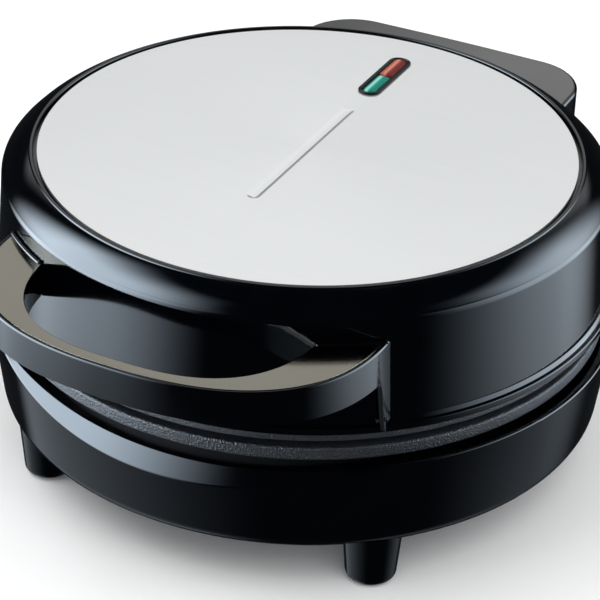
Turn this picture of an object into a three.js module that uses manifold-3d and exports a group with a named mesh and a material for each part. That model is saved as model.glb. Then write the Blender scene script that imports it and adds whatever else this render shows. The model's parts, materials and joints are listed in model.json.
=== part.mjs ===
// Mini doughnut maker: a round countertop cooker with a hinged lid and two seven-ring mould plates.
// Millimetres, +Z up. The handle points to -Y and the hinge to +Y. Z = 0 is the table, and the
// origin lies midway between the tip of the handle and the cord gland at the back.
import * as THREE from "three";
import { mergeVertices } from "three/addons/utils/BufferGeometryUtils.js";
import Module from "manifold-3d";

const wasm = await Module();
wasm.setup();

// Fits shared by all the pieces
const fitGap = 0.3;
const cutOverrun = 2;
const swingClearance = 1.2;
const roundSides = 40;
const innerSides = 30;
const smallSides = 8;

// Ring moulds, cast in both plates
const mouldOuterRadius = 29;
const mouldHubRadius = 8;
const mouldDepth = 10;
const mouldBridge = 6;
const mouldWall = 2.5;
const mouldDraft = 5;
const mouldsAround = 6;
const mouldSides = 16;
const channelSteps = 4;

// Plates
const plateMargin = 10.2;
const plateRimWidth = 4.8;
const plateSheet = 3;
const plateSkirtWall = 2.5;
const plateSkirtDepth = 18.6;
const plateEdgeRound = 0.8;
const lowerRimHeight = 4.75;
const upperRimHeight = 5.5;
const partingGap = 2.55;
const plateBossRadius = 5;

// Base shell
const footHeight = 20;
const baseHeight = 35.5;
const baseReveal = 4.5;
const baseDraft = 4.5;
const baseWall = 2.5;
const baseCornerRound = 6;
const baseRimRound = 0.9;
const plateClearance = 0.8;
const plateRimGap = 1.1;
const scoopDepth = 12.1;
const scoopReach = 29;
const ventWidth = 4;
const ventLength = 34;
const ventPitch = 10;
const ventCount = 7;

// Feet and the plate screws that go up through them
const screwInset = 6.9;
const screwAngle = THREE.MathUtils.degToRad(41.6);
const footTopRadius = 10.4;
const footBottomRadius = 8.7;
const footRound = 2.2;
const footSides = 16;
const padRadius = 6.2;
const padThickness = 3;
const padProud = 0.8;
const wellRadius = 4.4;
const seatThickness = 14;
const bossWall = 2.4;
const screwHeadRadius = 3.7;
const screwHeadHeight = 2.6;
const screwShankRadius = 1.9;
const screwHoleRadius = 2.2;
const screwLength = 22;
const screwSides = 8;

// Lid shell
const lidReveal = 3.3;
const lidOverlap = 0.8;
const lidWallHeight = 39.3;
const lidLipHeight = 2.7;
const lidLedgeWidth = 2.5;
const lidLedgeRise = 0.9;
const lidGrooveDepth = 0.4;
const lidDraft = 2.2;
const lidEdgeRound = 2.6;
const shoulderWidth = 9.5;
const shoulderRise = 7;
const shoulderCrown = 0.7;
const beadWidth = 1.8;
const beadHeight = 0.4;
const lidWall = 2.5;

// Steel panel in the top of the lid
const panelClearance = 1;
const panelThickness = 1.2;
const panelDrop = 0.5;
const grooveFrontInset = 51.3;
const grooveBackInset = 60.3;
const grooveWidth = 4.8;
const grooveDepth = 0.6;
const grooveEndRound = 1.6;

// Indicator lamps
const lampInset = 31.9;
const bezelWidth = 8.4;
const bezelRoundShare = 0.92;
const bezelLength = 33.4;
const bezelProud = 0.4;
const bezelFlange = 0.7;
const bezelWall = 0.6;
const bezelBodyDepth = 5;
const lensProud = 0.3;
const lensThickness = 2.4;
const lensSpacing = 0.8;
const lampHolderWall = 1;
const lampHolderDepth = 9;
const lampHolderRound = 2;
const lampRadius = 1.8;
const lampLength = 7;

// Handle: a loop on the front of the lid
const handleDrop = 14;
const handleRootInset = 24.6;
const handleHalfWidth = 70.4;
const handleFlare = 2.1;
const handleReach = 56.5;
const handlePower = 2.4;
const handleHeight = 12;
const handleArmWidth = 19.4;
const handleGripWidth = 5.7;
const loopPower = 2.7;
const handleWall = 2.6;
const handleCoverThickness = 2;
const handleRim = 1;
const handlePocketFront = 36;
const legDrop = 20.3;
const legTipWidth = 1.2;
const legTopWidth = 5.2;
const legWall = 1.6;
const legRound = 2.2;
const gussetReach = 24;
const gussetDrop = 5.5;
const handleScrewInset = 12.4;
const handleScrewBossRadius = 4.6;
const handleScrewLength = 18;
const handleSeatThickness = 6;
const handleSteps = 26;

// Hinge
const hingeHalfWidth = 57.6;
const hingeTaper = 1.2;
const hingeCornerRound = 21;
const hingeBulge = 1.2;
const hingeBulgeRound = 600;
const hingeTopRound = 1.4;
const hingeWall = 2.5;
const cheekRadius = 13.6;
const cheekThickness = 12.8;
const cheekSteps = 8;
const barrelRadius = 8.8;
const pinRadius = 2.5;
const pinEngagement = 10;
const pinInset = 2.8;
const openAngle = THREE.MathUtils.degToRad(100);

// Electrical pieces
const elementTubeRadius = 3.25;
const elementLegSpacing = 24;
const elementBend = 12;
const elementLegInset = 15.2;
const elementSteps = 30;
const elementSides = 6;
const reflectorSheet = 0.8;
const reflectorRoom = 2;
const reflectorClearance = 1.2;
const reflectorDish = 3;
const thermostatRadius = 8;
const thermostatHeight = 7;
const thermostatTabWidth = 5;
const thermostatTabLength = 26;
const thermostatTabThickness = 1;
const fuseRadius = 2.4;
const fuseLength = 20;
const fuseSides = 12;
const terminalWidth = 32;
const terminalDepth = 13;
const terminalHeight = 12;
const terminalHoleRadius = 2.2;
const terminalPoles = 3;
const glandHeight = 13;
const glandRadius = 5.4;
const glandFlangeRadius = 7.6;
const glandFlangeThickness = 2;
const glandBoreRadius = 3.4;

// Radii that follow from the moulds outwards
const mouldPitch = 2 * mouldOuterRadius + mouldBridge;
const plateBodyRadius = mouldPitch + mouldOuterRadius + plateMargin;
const plateRadius = plateBodyRadius + plateRimWidth;
const baseRimRadius = plateRadius + baseReveal;
const baseBottomRadius = baseRimRadius - baseDraft;
const landRadius = plateBodyRadius + plateClearance;
const lidEdgeRadius = plateRadius + lidReveal;
const lidFootRadius = lidEdgeRadius - lidLedgeWidth;
const lidShoulderRadius = lidFootRadius - lidDraft;
const beadOuterRadius = lidShoulderRadius - shoulderWidth;
const beadInnerRadius = beadOuterRadius - beadWidth;
const panelRadius = beadInnerRadius - panelClearance;
const grooveFront = grooveFrontInset - panelRadius;
const grooveBack = panelRadius - grooveBackInset;
const lampCentre = panelRadius - lampInset;
const screwRadius = plateBodyRadius - screwInset;
const lidScrewRadius = mouldPitch * Math.cos(Math.PI / mouldsAround) + mouldOuterRadius;

// Heights that follow from the table upwards
const floorTop = footHeight + baseWall;
const baseTop = footHeight + baseHeight;
const lowerParting = baseTop + plateRimGap + lowerRimHeight;
const upperParting = lowerParting + partingGap;
const lidBottom = upperParting + upperRimHeight - lidOverlap;
const lidLipTop = lidBottom + lidLipHeight;
const lidShoulderHeight = lidBottom + lidWallHeight;
const beadTop = lidShoulderHeight + shoulderRise + beadHeight;
const panelTop = beadTop - panelDrop;
const deckTop = panelTop - panelThickness - fitGap;
const handleTop = panelTop - handleDrop;
const handleBottom = handleTop - handleHeight;
const handleMiddle = (handleTop + handleBottom) / 2;
const mouldFloor = mouldDepth + mouldWall;
const reflectorDrop = mouldFloor + 2 * fitGap + 2 * elementTubeRadius + reflectorRoom;
const bossSpan = reflectorDrop - fitGap;
const shellBossDrop = reflectorDrop + reflectorSheet + fitGap;

// Handle and its loop, seen from above
const handleCentre = handleRootInset - lidShoulderRadius;
const loopHalfWidth = handleHalfWidth - handleArmWidth;
const loopReach = handleReach - handleGripWidth;
const handleScrewOffset = handleHalfWidth - handleScrewInset;
const handleWallY = -Math.sqrt(lidShoulderRadius ** 2 - handleScrewOffset ** 2);

// Hinge places
const pivotHeight = (lowerParting + upperParting) / 2;
const pivotY = plateRadius + barrelRadius + swingClearance;
const hingeBack = pivotY + cheekRadius;
const glandBack = hingeBack + fitGap + glandFlangeThickness;
const cheekInner = hingeHalfWidth - hingeTaper - cheekThickness;
const barrelHalfWidth = cheekInner - swingClearance;
const overSwing = openAngle - Math.PI / 2;
const baseBlockTop = pivotHeight - swingClearance
  - (cheekRadius + hingeBulge + cheekRadius * Math.sin(overSwing)) / Math.cos(overSwing);

// The handle's tip and the gland's flange at the back set the origin
const handleFront = handleCentre - handleReach;
const originY = (handleFront + glandBack) / 2;

// Turns a closed three.js geometry into a solid with its faces pointing out
function solidFrom(geometry) {
  geometry.deleteAttribute("normal");
  geometry.deleteAttribute("uv");
  const merged = mergeVertices(geometry);
  const places = merged.getAttribute("position").array;
  const index = merged.getIndex().array;
  const faces = [];
  const corner = (i) => new THREE.Vector3().fromArray(places, 3 * i);
  let volume = 0;
  for (let i = 0; i < index.length; i += 3) {
    const [a, b, c] = [index[i], index[i + 1], index[i + 2]];
    if (a === b || b === c || c === a) continue;
    faces.push([a, b, c]);
    volume += corner(a).dot(corner(b).cross(corner(c)));
  }
  const triangles = faces.flatMap(([a, b, c]) => (volume > 0 ? [a, b, c] : [a, c, b]));
  return new wasm.Manifold(new wasm.Mesh({
    numProp: 3,
    vertProperties: new Float32Array(places),
    triVerts: new Uint32Array(triangles),
  }));
}

// Makes the named mesh of a finished solid
function meshOf(name, solid, material) {
  const data = solid.getMesh();
  const geometry = new THREE.BufferGeometry();
  geometry.setAttribute("position", new THREE.BufferAttribute(data.vertProperties, 3));
  geometry.setIndex(new THREE.BufferAttribute(data.triVerts, 1));
  geometry.computeVertexNormals();
  const mesh = new THREE.Mesh(geometry, material);
  mesh.name = name;
  return mesh;
}

// Rounds the corners of a closed path whose points are [x, y, corner radius]
function rounded(path, steps = 3) {
  return path.flatMap(([x, y, radius = 0], i) => {
    if (radius === 0) return [[x, y]];
    const corner = new THREE.Vector2(x, y);
    const last = path[(i + path.length - 1) % path.length];
    const next = path[(i + 1) % path.length];
    const back = new THREE.Vector2(last[0], last[1]).sub(corner);
    const ahead = new THREE.Vector2(next[0], next[1]).sub(corner);
    const room = Math.min(back.length(), ahead.length()) / 2;
    back.normalize();
    ahead.normalize();
    const half = Math.acos(THREE.MathUtils.clamp(back.dot(ahead), -1, 1)) / 2;
    const reach = Math.min(radius / Math.tan(half), room);
    const start = corner.clone().addScaledVector(back, reach);
    const end = corner.clone().addScaledVector(ahead, reach);
    const centre = corner.clone().addScaledVector(back.add(ahead).normalize(), reach / Math.cos(half));
    const from = start.clone().sub(centre).angle();
    let turn = end.clone().sub(centre).angle() - from;
    if (turn > Math.PI) turn -= 2 * Math.PI;
    if (turn < -Math.PI) turn += 2 * Math.PI;
    const size = start.distanceTo(centre);
    return Array.from({ length: steps + 1 }, (_, k) => {
      const angle = from + turn * k / steps;
      return [centre.x + size * Math.cos(angle), centre.y + size * Math.sin(angle)];
    });
  });
}

// Points between two ends that bulge to the right of the way from a to b
function crowned(a, b, bulge, steps = 4) {
  const start = new THREE.Vector2(...a);
  const way = new THREE.Vector2(...b).sub(start);
  const side = new THREE.Vector2(way.y, -way.x).normalize();
  return Array.from({ length: steps - 1 }, (_, k) => {
    const t = (k + 1) / steps;
    const p = start.clone().addScaledVector(way, t).addScaledVector(side, 4 * bulge * t * (1 - t));
    return [p.x, p.y];
  });
}

// Turns a profile of [radius, height] about Z; it starts and ends on the axis or closes on itself
function revolve(profile, sides = roundSides) {
  const onAxis = profile[0][0] === 0 && profile[profile.length - 1][0] === 0;
  const points = (onAxis ? profile : [...profile, profile[0]]).map(([r, h]) => new THREE.Vector2(r, h));
  return solidFrom(new THREE.LatheGeometry(points, sides).rotateX(Math.PI / 2));
}

// Upright prism of a plan outline between two heights
function prism(points, bottom, top, bevel = 0) {
  const shape = new THREE.Shape(points.map(([x, y]) => new THREE.Vector2(x, y)));
  const geometry = new THREE.ExtrudeGeometry(shape, {
    depth: top - bottom - 2 * bevel,
    bevelEnabled: bevel > 0,
    bevelThickness: bevel,
    bevelSize: bevel,
    bevelOffset: -bevel,
    bevelSegments: 2,
  });
  return solidFrom(geometry.translate(0, 0, bottom + bevel));
}

// Solid between a low and a high plan outline that have as many points each
function flaredPrism(low, high, bottom, top) {
  const shape = new THREE.Shape(high.map(([x, y]) => new THREE.Vector2(x, y)));
  const geometry = new THREE.ExtrudeGeometry(shape, { depth: top - bottom, bevelEnabled: false });
  const places = geometry.getAttribute("position");
  for (let i = 0; i < places.count; i += 1) {
    const corner = new THREE.Vector2(places.getX(i), places.getY(i));
    const gaps = high.map(([x, y]) => corner.distanceTo(new THREE.Vector2(x, y)));
    const k = gaps.indexOf(Math.min(...gaps));
    if (places.getZ(i) === 0) places.setXYZ(i, low[k][0], low[k][1], 0);
  }
  return solidFrom(geometry.translate(0, 0, bottom));
}

// Prism of a side outline of [y, z] points between two X places
function sidePrism(points, left, right) {
  const shape = new THREE.Shape(points.map(([y, z]) => new THREE.Vector2(y, z)));
  const geometry = new THREE.ExtrudeGeometry(shape, { depth: right - left, bevelEnabled: false });
  const turn = new THREE.Matrix4().makeBasis(
    new THREE.Vector3(0, 1, 0), new THREE.Vector3(0, 0, 1), new THREE.Vector3(1, 0, 0));
  return solidFrom(geometry.applyMatrix4(turn).translate(left, 0, 0));
}

// Box from its two opposite corners
function block([x0, y0, z0], [x1, y1, z1]) {
  const geometry = new THREE.BoxGeometry(x1 - x0, y1 - y0, z1 - z0);
  return solidFrom(geometry.translate((x0 + x1) / 2, (y0 + y1) / 2, (z0 + z1) / 2));
}

// Round rods along the three axes, between two places
function rodZ(radius, x, y, bottom, top, sides = smallSides) {
  const geometry = new THREE.CylinderGeometry(radius, radius, top - bottom, sides).rotateX(Math.PI / 2);
  return solidFrom(geometry.translate(x, y, (bottom + top) / 2));
}

function rodX(radius, y, z, left, right, sides = smallSides) {
  const geometry = new THREE.CylinderGeometry(radius, radius, right - left, sides).rotateZ(Math.PI / 2);
  return solidFrom(geometry.translate((left + right) / 2, y, z));
}

function rodY(radius, x, z, front, back, sides = smallSides) {
  const geometry = new THREE.CylinderGeometry(radius, radius, back - front, sides);
  return solidFrom(geometry.translate(x, (front + back) / 2, z));
}

// Plan outline with round corners, centred on x = 0
function roundedPlan(halfWidth, front, back, radius, steps = 3) {
  return rounded([
    [-halfWidth, front, radius], [halfWidth, front, radius],
    [halfWidth, back, radius], [-halfWidth, back, radius],
  ], steps);
}

const join = (solids) => solids.reduce((whole, next) => whole.add(next));
const fourPlaces = (radius, angle) => [
  ["front_left", -1, -1], ["front_right", 1, -1], ["rear_left", -1, 1], ["rear_right", 1, 1],
].map(([corner, sx, sy]) => ({
  corner,
  x: sx * radius * Math.sin(angle),
  y: sy * radius * Math.cos(angle),
}));
// The base screws run through the feet; the lid screws lie between the moulds, under the panel
const baseScrews = fourPlaces(screwRadius, screwAngle);
const lidScrews = fourPlaces(lidScrewRadius, Math.PI / mouldsAround);
const bothSides = [["left", -1], ["right", 1]];

// Finishes
const finish = (color, roughness, metalness = 0) => (
  new THREE.MeshStandardMaterial({ color, roughness, metalness })
);
const glossBlack = finish(0x0b0c0f, 0.16);
const satinGrey = finish(0x6f6c65, 0.55);
const brushedSteel = finish(0xd9dbdc, 0.32, 0.9);
const coatedAluminium = finish(0x33353a, 0.62, 0.3);
const bareSteel = finish(0x9a9c9e, 0.4, 0.9);
const darkRubber = finish(0x18181a, 0.85);
const ceramic = finish(0xe6e1d3, 0.7);
const greenLens = finish(0x12796a, 0.2);
const redLens = finish(0xb0574a, 0.2);
const lampGlass = finish(0xe9dfc8, 0.15);

// One mould plate: its parting face lies at z = 0 and its body hangs below
function plateSolid(rimHeight, screwPlaces) {
  const skirtInner = plateBodyRadius - plateSkirtWall;
  const pan = revolve([
    [0, -plateSheet], [skirtInner, -plateSheet], [skirtInner, -plateSkirtDepth],
    [plateBodyRadius, -plateSkirtDepth], [plateBodyRadius, -rimHeight], [plateRadius, -rimHeight],
    [plateRadius, -plateEdgeRound], [plateRadius - plateEdgeRound, 0], [0, 0],
  ]);
  const cupRadius = mouldOuterRadius + mouldWall;
  const cup = revolve([
    [0, -mouldFloor], [cupRadius - mouldDraft, -mouldFloor], [cupRadius, -plateSheet / 2],
    [0, -plateSheet / 2],
  ], mouldSides);
  const channel = revolve(channelProfile(), mouldSides);
  const places = [[0, 0]];
  for (let i = 0; i < mouldsAround; i += 1) {
    const angle = 2 * Math.PI * i / mouldsAround - Math.PI / 2;
    places.push([mouldPitch * Math.cos(angle), mouldPitch * Math.sin(angle)]);
  }
  const bosses = screwPlaces.map(({ x, y }) => rodZ(plateBossRadius, x, y, -bossSpan, -plateSheet / 2));
  const holes = screwPlaces.map(({ x, y }) => (
    rodZ(screwHoleRadius, x, y, -bossSpan - cutOverrun, -plateSheet - mouldWall)
  ));
  const cups = places.map(([x, y]) => cup.translate([x, y, 0]));
  const channels = places.map(([x, y]) => channel.translate([x, y, 0]));
  return join([pan, ...cups, ...bosses]).subtract(join(channels)).subtract(join(holes));
}

// Half-round channel of one doughnut, from its hub to its outer edge
function channelProfile() {
  const middle = (mouldHubRadius + mouldOuterRadius) / 2;
  const halfWidth = (mouldOuterRadius - mouldHubRadius) / 2;
  const curve = Array.from({ length: channelSteps + 1 }, (_, k) => {
    const angle = Math.PI * k / channelSteps;
    return [middle - halfWidth * Math.cos(angle), -mouldDepth * Math.sin(angle)];
  });
  return [[mouldHubRadius, cutOverrun], ...curve, [mouldOuterRadius, cutOverrun]];
}

// Heating element: a nearly closed ring whose two legs run back side by side
function elementSolid() {
  const ringRadius = mouldPitch;
  const leg = elementLegSpacing / 2;
  const bendX = leg + elementBend;
  const bendY = Math.sqrt((ringRadius + elementBend) ** 2 - bendX ** 2);
  const meet = Math.atan2(bendY, bendX);
  const path = new THREE.Path();
  const legEnd = plateBodyRadius - elementLegInset;
  path.moveTo(leg, legEnd);
  path.lineTo(leg, bendY);
  path.absarc(bendX, bendY, elementBend, Math.PI, Math.PI + meet, false);
  path.absarc(0, 0, ringRadius, meet, Math.PI - meet, true);
  path.absarc(-bendX, bendY, elementBend, -meet, 0, false);
  path.lineTo(-leg, legEnd);
  const curve = new THREE.CatmullRomCurve3(path.getSpacedPoints(elementSteps).map((p) => (
    new THREE.Vector3(p.x, p.y, 0)
  )));
  const section = new THREE.Shape(Array.from({ length: elementSides }, (_, k) => {
    const angle = 2 * Math.PI * (k + 0.5) / elementSides;
    return new THREE.Vector2(elementTubeRadius * Math.cos(angle), elementTubeRadius * Math.sin(angle));
  }));
  return solidFrom(new THREE.ExtrudeGeometry(section, {
    steps: elementSteps, extrudePath: curve, bevelEnabled: false,
  }));
}

// Reflector: a shallow steel dish whose flange, held between the bosses, has its upper face at z = 0
function reflectorSolid(screwPlaces) {
  const flangeRadius = plateBodyRadius - plateSkirtWall - reflectorClearance;
  const slopeRadius = Math.hypot(screwPlaces[0].x, screwPlaces[0].y) - plateBossRadius - bossWall;
  const dishRadius = slopeRadius - reflectorDish;
  const dish = revolve([
    [0, -reflectorDish - reflectorSheet], [dishRadius, -reflectorDish - reflectorSheet],
    [slopeRadius, -reflectorSheet], [flangeRadius, -reflectorSheet], [flangeRadius, 0], [slopeRadius, 0],
    [dishRadius, -reflectorDish], [0, -reflectorDish],
  ], innerSides);
  const holes = screwPlaces.map(({ x, y }) => rodZ(screwHoleRadius, x, y, -cutOverrun, cutOverrun));
  return dish.subtract(join(holes));
}

// Screw whose head rests on z = 0 with its shank pointing up
function screwSolid(length) {
  return revolve([
    [0, -screwHeadHeight], [screwHeadRadius, -screwHeadHeight], [screwHeadRadius, 0],
    [screwShankRadius, 0], [screwShankRadius, length], [0, length],
  ], screwSides);
}

// Plan outline of the hinge block on the lid and the base; the lid's back bulges
function hingeOutline(inset, front, bulge = 0) {
  const wide = hingeHalfWidth - inset;
  const narrow = hingeHalfWidth - hingeTaper - inset;
  const back = hingeBack - inset;
  return rounded([
    [-wide, front], [wide, front], [narrow, back, hingeCornerRound - inset],
    [0, back + bulge, bulge > 0 ? hingeBulgeRound : 0], [-narrow, back, hingeCornerRound - inset],
  ], 6);
}

// Slanted scoop that a finger uses to reach the handle: it lies over the front of the base rim
function scoopCutter(drop) {
  const slope = scoopDepth / scoopReach;
  const startY = -(baseRimRadius - scoopReach);
  const farY = -(baseRimRadius + cutOverrun);
  const top = baseTop - drop;
  const above = baseTop + cutOverrun;
  return sidePrism([
    [farY, top - slope * (startY - farY)], [startY, top], [startY, above], [farY, above],
  ], -baseRimRadius, baseRimRadius);
}

function baseShell() {
  const hull = revolve([
    ...rounded([
      [0, footHeight], [baseBottomRadius, footHeight, baseCornerRound],
      [baseRimRadius, baseTop, baseRimRound], [0, baseTop],
    ], 2),
  ]);
  const wallSlope = baseDraft / baseHeight;
  const innerBottom = baseBottomRadius - baseWall + wallSlope * baseWall;
  const innerTop = baseRimRadius - baseWall - wallSlope * baseWall;
  const room = revolve(rounded([
    [0, floorTop], [innerBottom, floorTop, baseCornerRound - baseWall],
    [innerTop, baseTop - baseWall], [0, baseTop - baseWall],
  ], 1), innerSides);
  const mouth = revolve([
    [0, baseTop / 2], [landRadius, baseTop / 2], [landRadius, baseTop + cutOverrun],
    [0, baseTop + cutOverrun],
  ]);
  const slant = Math.hypot(scoopDepth, scoopReach) / scoopReach;
  const hollow = room.subtract(scoopCutter(baseWall * slant)).add(mouth);

  const blockFront = baseBottomRadius - hingeHalfWidth;
  const rearBlock = prism(hingeOutline(0, blockFront), footHeight, baseBlockTop);
  const rearRoom = prism(hingeOutline(hingeWall, blockFront), floorTop, baseBlockTop - hingeWall);
  const neck = block(
    [-barrelHalfWidth, pivotY - barrelRadius, baseBlockTop - hingeWall],
    [barrelHalfWidth, pivotY + barrelRadius, pivotHeight]);
  const barrel = rodX(barrelRadius, pivotY, pivotHeight, -barrelHalfWidth, barrelHalfWidth, footSides);
  const pinHole = rodX(pinRadius + fitGap, pivotY, pivotHeight,
    barrelHalfWidth - pinEngagement - fitGap, barrelHalfWidth + cutOverrun);

  const footBottom = padProud;
  const bossTop = lowerParting - shellBossDrop;
  const wellTop = bossTop - seatThickness;
  const feet = baseScrews.map(({ x, y }) => revolve(rounded([
    [0, footBottom], [footBottomRadius, footBottom, footRound], [footTopRadius, footHeight],
    [footTopRadius, floorTop], [0, floorTop],
  ], 2), footSides).translate([x, y, 0]));
  const bosses = baseScrews.map(({ x, y }) => (
    rodZ(wellRadius + bossWall, x, y, footHeight + baseWall / 2, bossTop, smallSides)
  ));
  const wells = baseScrews.flatMap(({ x, y }) => [
    rodZ(padRadius + fitGap, x, y, -cutOverrun, padThickness + fitGap),
    rodZ(wellRadius, x, y, -cutOverrun, wellTop),
    rodZ(screwHoleRadius, x, y, 0, bossTop + cutOverrun),
  ]);
  const ventStart = -ventPitch * (ventCount - 1) / 2;
  const vents = Array.from({ length: ventCount }, (_, k) => prism(
    roundedPlan(ventWidth / 2, -ventLength / 2, ventLength / 2, ventWidth / 2, 2)
      .map(([x, y]) => [x + ventStart + ventPitch * k, y]),
    footHeight - cutOverrun, floorTop + cutOverrun));
  const glandHole = rodY(glandRadius + fitGap, 0, footHeight + glandHeight,
    hingeBack - hingeWall - cutOverrun, hingeBack + cutOverrun, footSides);

  return hull.subtract(scoopCutter(0)).add(rearBlock).subtract(hollow).subtract(rearRoom)
    .add(neck).add(barrel).add(join(feet)).add(join(bosses))
    .subtract(pinHole).subtract(pinHole.mirror([1, 0, 0]))
    .subtract(join(wells)).subtract(join(vents)).subtract(glandHole);
}

// Outer side of the lid, from its lower lip to the bead round the steel panel
function lidOutside() {
  const foot = [lidFootRadius, lidLipTop + lidLedgeRise];
  const shoulder = [lidShoulderRadius, lidShoulderHeight];
  const bead = [beadOuterRadius, lidShoulderHeight + shoulderRise];
  return [
    [lidEdgeRadius, lidBottom],
    [lidEdgeRadius, lidLipTop],
    [lidFootRadius + lidLedgeWidth / 3, lidLipTop - lidGrooveDepth],
    foot,
    ...rounded([foot, [...shoulder, lidEdgeRound], bead], 2).slice(1, -1),
    ...crowned(shoulder, bead, shoulderCrown, 3).slice(1),
    bead,
  ];
}

// Plug with the lid's outer shape, grown by a gap, to trim what sits against the wall over its ledge
function lidPlug(gap, bottom = lidBottom) {
  const wall = lidOutside().filter(([, h]) => h > lidLipTop);
  const side = [[lidEdgeRadius, wall[0][1]], ...wall].map(([r, h]) => [r + gap, h]);
  return revolve([
    [0, bottom - cutOverrun], [side[0][0], bottom - cutOverrun], ...side,
    [side[side.length - 1][0], beadTop + cutOverrun], [0, beadTop + cutOverrun],
  ]);
}

function lidShell() {
  const outside = lidOutside();
  const hull = revolve([
    [0, lidBottom], ...outside,
    [beadOuterRadius - beadWidth / 2, beadTop], [beadInnerRadius, deckTop], [0, deckTop],
  ]);
  const deckBottom = deckTop - lidWall;
  const lidRoom = revolve([
    [0, lidBottom - cutOverrun], [lidEdgeRadius - lidWall, lidBottom - cutOverrun],
    [lidEdgeRadius - lidWall, lidBottom + lidOverlap + plateClearance / 2],
    [lidFootRadius - lidWall, lidLipTop],
    [lidShoulderRadius - lidWall, lidShoulderHeight - lidEdgeRound],
    [beadInnerRadius - lidWall, deckBottom], [0, deckBottom],
  ], innerSides);

  const blockFront = lidEdgeRadius - hingeHalfWidth;
  const blockBottom = lidBottom + lidLipHeight / 2;
  const cheekSide = [
    ...Array.from({ length: cheekSteps + 1 }, (_, k) => {
      const angle = Math.PI + Math.PI * k / cheekSteps;
      return [pivotY + cheekRadius * Math.cos(angle), pivotHeight + cheekRadius * Math.sin(angle)];
    }),
    [hingeBack + hingeBulge, pivotHeight + cheekRadius], [hingeBack + hingeBulge, handleTop],
    [blockFront, handleTop], [blockFront, blockBottom], [pivotY - cheekRadius, blockBottom],
  ];
  const hingeFoot = pivotHeight - 2 * cheekRadius;
  const hingeBlock = prism(hingeOutline(0, blockFront, hingeBulge), hingeFoot, handleTop, hingeTopRound)
    .intersect(sidePrism(cheekSide, -lidEdgeRadius, lidEdgeRadius));
  const windowTop = pivotHeight
    + (barrelRadius + swingClearance + (cheekRadius + hingeBulge) * Math.sin(overSwing)) / Math.cos(overSwing);
  const barrelRoom = block(
    [-cheekInner, blockFront, hingeFoot],
    [cheekInner, hingeBack + hingeBulge + cutOverrun, windowTop]);
  const roomTop = handleTop - hingeWall;
  const coreRoom = prism(hingeOutline(hingeWall, blockFront), pivotHeight + cheekRadius, roomTop);
  const middleRoom = block(
    [-cheekInner, blockFront, pivotHeight], [cheekInner, hingeBack - hingeWall, roomTop]);
  const hingeRoom = join([coreRoom, middleRoom]).subtract(lidPlug(0));
  const pinHole = rodX(pinRadius + fitGap, pivotY, pivotHeight, -lidEdgeRadius, lidEdgeRadius);
  const barrelSweep = rodX(barrelRadius + swingClearance, pivotY, pivotHeight, -cheekInner, cheekInner, footSides);

  const bossBottom = upperParting + shellBossDrop;
  const bosses = lidScrews.map(({ x, y }) => (
    rodZ(wellRadius + bossWall, x, y, bossBottom, deckTop - lidWall / 2, smallSides)
  ));
  const seat = bossBottom + seatThickness;
  const wells = lidScrews.flatMap(({ x, y }) => [
    rodZ(wellRadius, x, y, seat, deckTop + cutOverrun),
    rodZ(screwHoleRadius, x, y, bossBottom - cutOverrun, deckTop),
  ]);
  const screwPads = bothSides.map(([, side]) => rodY(
    handleScrewBossRadius, side * handleScrewOffset, handleMiddle,
    handleWallY - cutOverrun, handleWallY + handleSeatThickness)
    .intersect(lidPlug(-lidWall / 2)));
  const screwHoles = bothSides.map(([, side]) => rodY(
    screwHoleRadius, side * handleScrewOffset, handleMiddle,
    handleWallY - handleSeatThickness, handleWallY + handleSeatThickness + cutOverrun));
  const lampSlot = bezelOutline(fitGap - bezelFlange);
  const lampHole = prism(lampSlot, deckBottom - cutOverrun, deckTop + cutOverrun);

  return hull.add(hingeBlock).subtract(lidRoom)
    .subtract(barrelRoom.subtract(lidPlug(0))).subtract(barrelSweep).subtract(hingeRoom).subtract(pinHole)
    .add(join(bosses)).add(join(screwPads))
    .subtract(join(wells)).subtract(join(screwHoles)).subtract(lampHole);
}

// Capsule outline of the lamp bezel, grown or shrunk by an offset
function bezelOutline(offset) {
  const half = bezelWidth / 2 + offset;
  const front = lampCentre - bezelLength / 2 - offset;
  const back = lampCentre + bezelLength / 2 + offset;
  return roundedPlan(half, front, back, half * bezelRoundShare, 3);
}

function panelSolid() {
  const sheet = revolve([
    [0, panelTop - panelThickness], [panelRadius, panelTop - panelThickness],
    [panelRadius, panelTop - panelThickness / 4], [panelRadius - panelThickness / 4, panelTop],
    [0, panelTop],
  ]);
  const groove = prism(
    roundedPlan(grooveWidth / 2, grooveFront, grooveBack, grooveEndRound, 3),
    panelTop - grooveDepth, panelTop + cutOverrun);
  const lampSlot = prism(bezelOutline(fitGap - bezelFlange),
    panelTop - panelThickness - cutOverrun, panelTop + cutOverrun);
  return sheet.subtract(groove).subtract(lampSlot);
}

function bezelSolid() {
  const seat = panelTop + fitGap;
  const end = panelTop - bezelBodyDepth;
  const flange = prism(bezelOutline(0), seat, seat + bezelProud);
  const body = prism(bezelOutline(-bezelFlange), end, seat + bezelProud / 2);
  const bore = prism(bezelOutline(-bezelFlange - bezelWall), end - cutOverrun, seat + cutOverrun);
  return flange.add(body).subtract(bore);
}

// One half of the lens strip: front is green, back is red
function lensSolid(side) {
  const top = panelTop + fitGap + bezelProud + lensProud;
  const strip = prism(bezelOutline(-bezelFlange - bezelWall - fitGap), top - lensThickness, top, lensProud);
  const start = lampCentre + side * lensSpacing / 2;
  const end = lampCentre + side * bezelLength;
  return strip.intersect(block(
    [-bezelWidth, Math.min(start, end), top - lensThickness - cutOverrun],
    [bezelWidth, Math.max(start, end), top + cutOverrun]));
}

const lampHolderTop = panelTop - bezelBodyDepth - fitGap;
const lampSpacing = bezelLength / 4;

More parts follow.
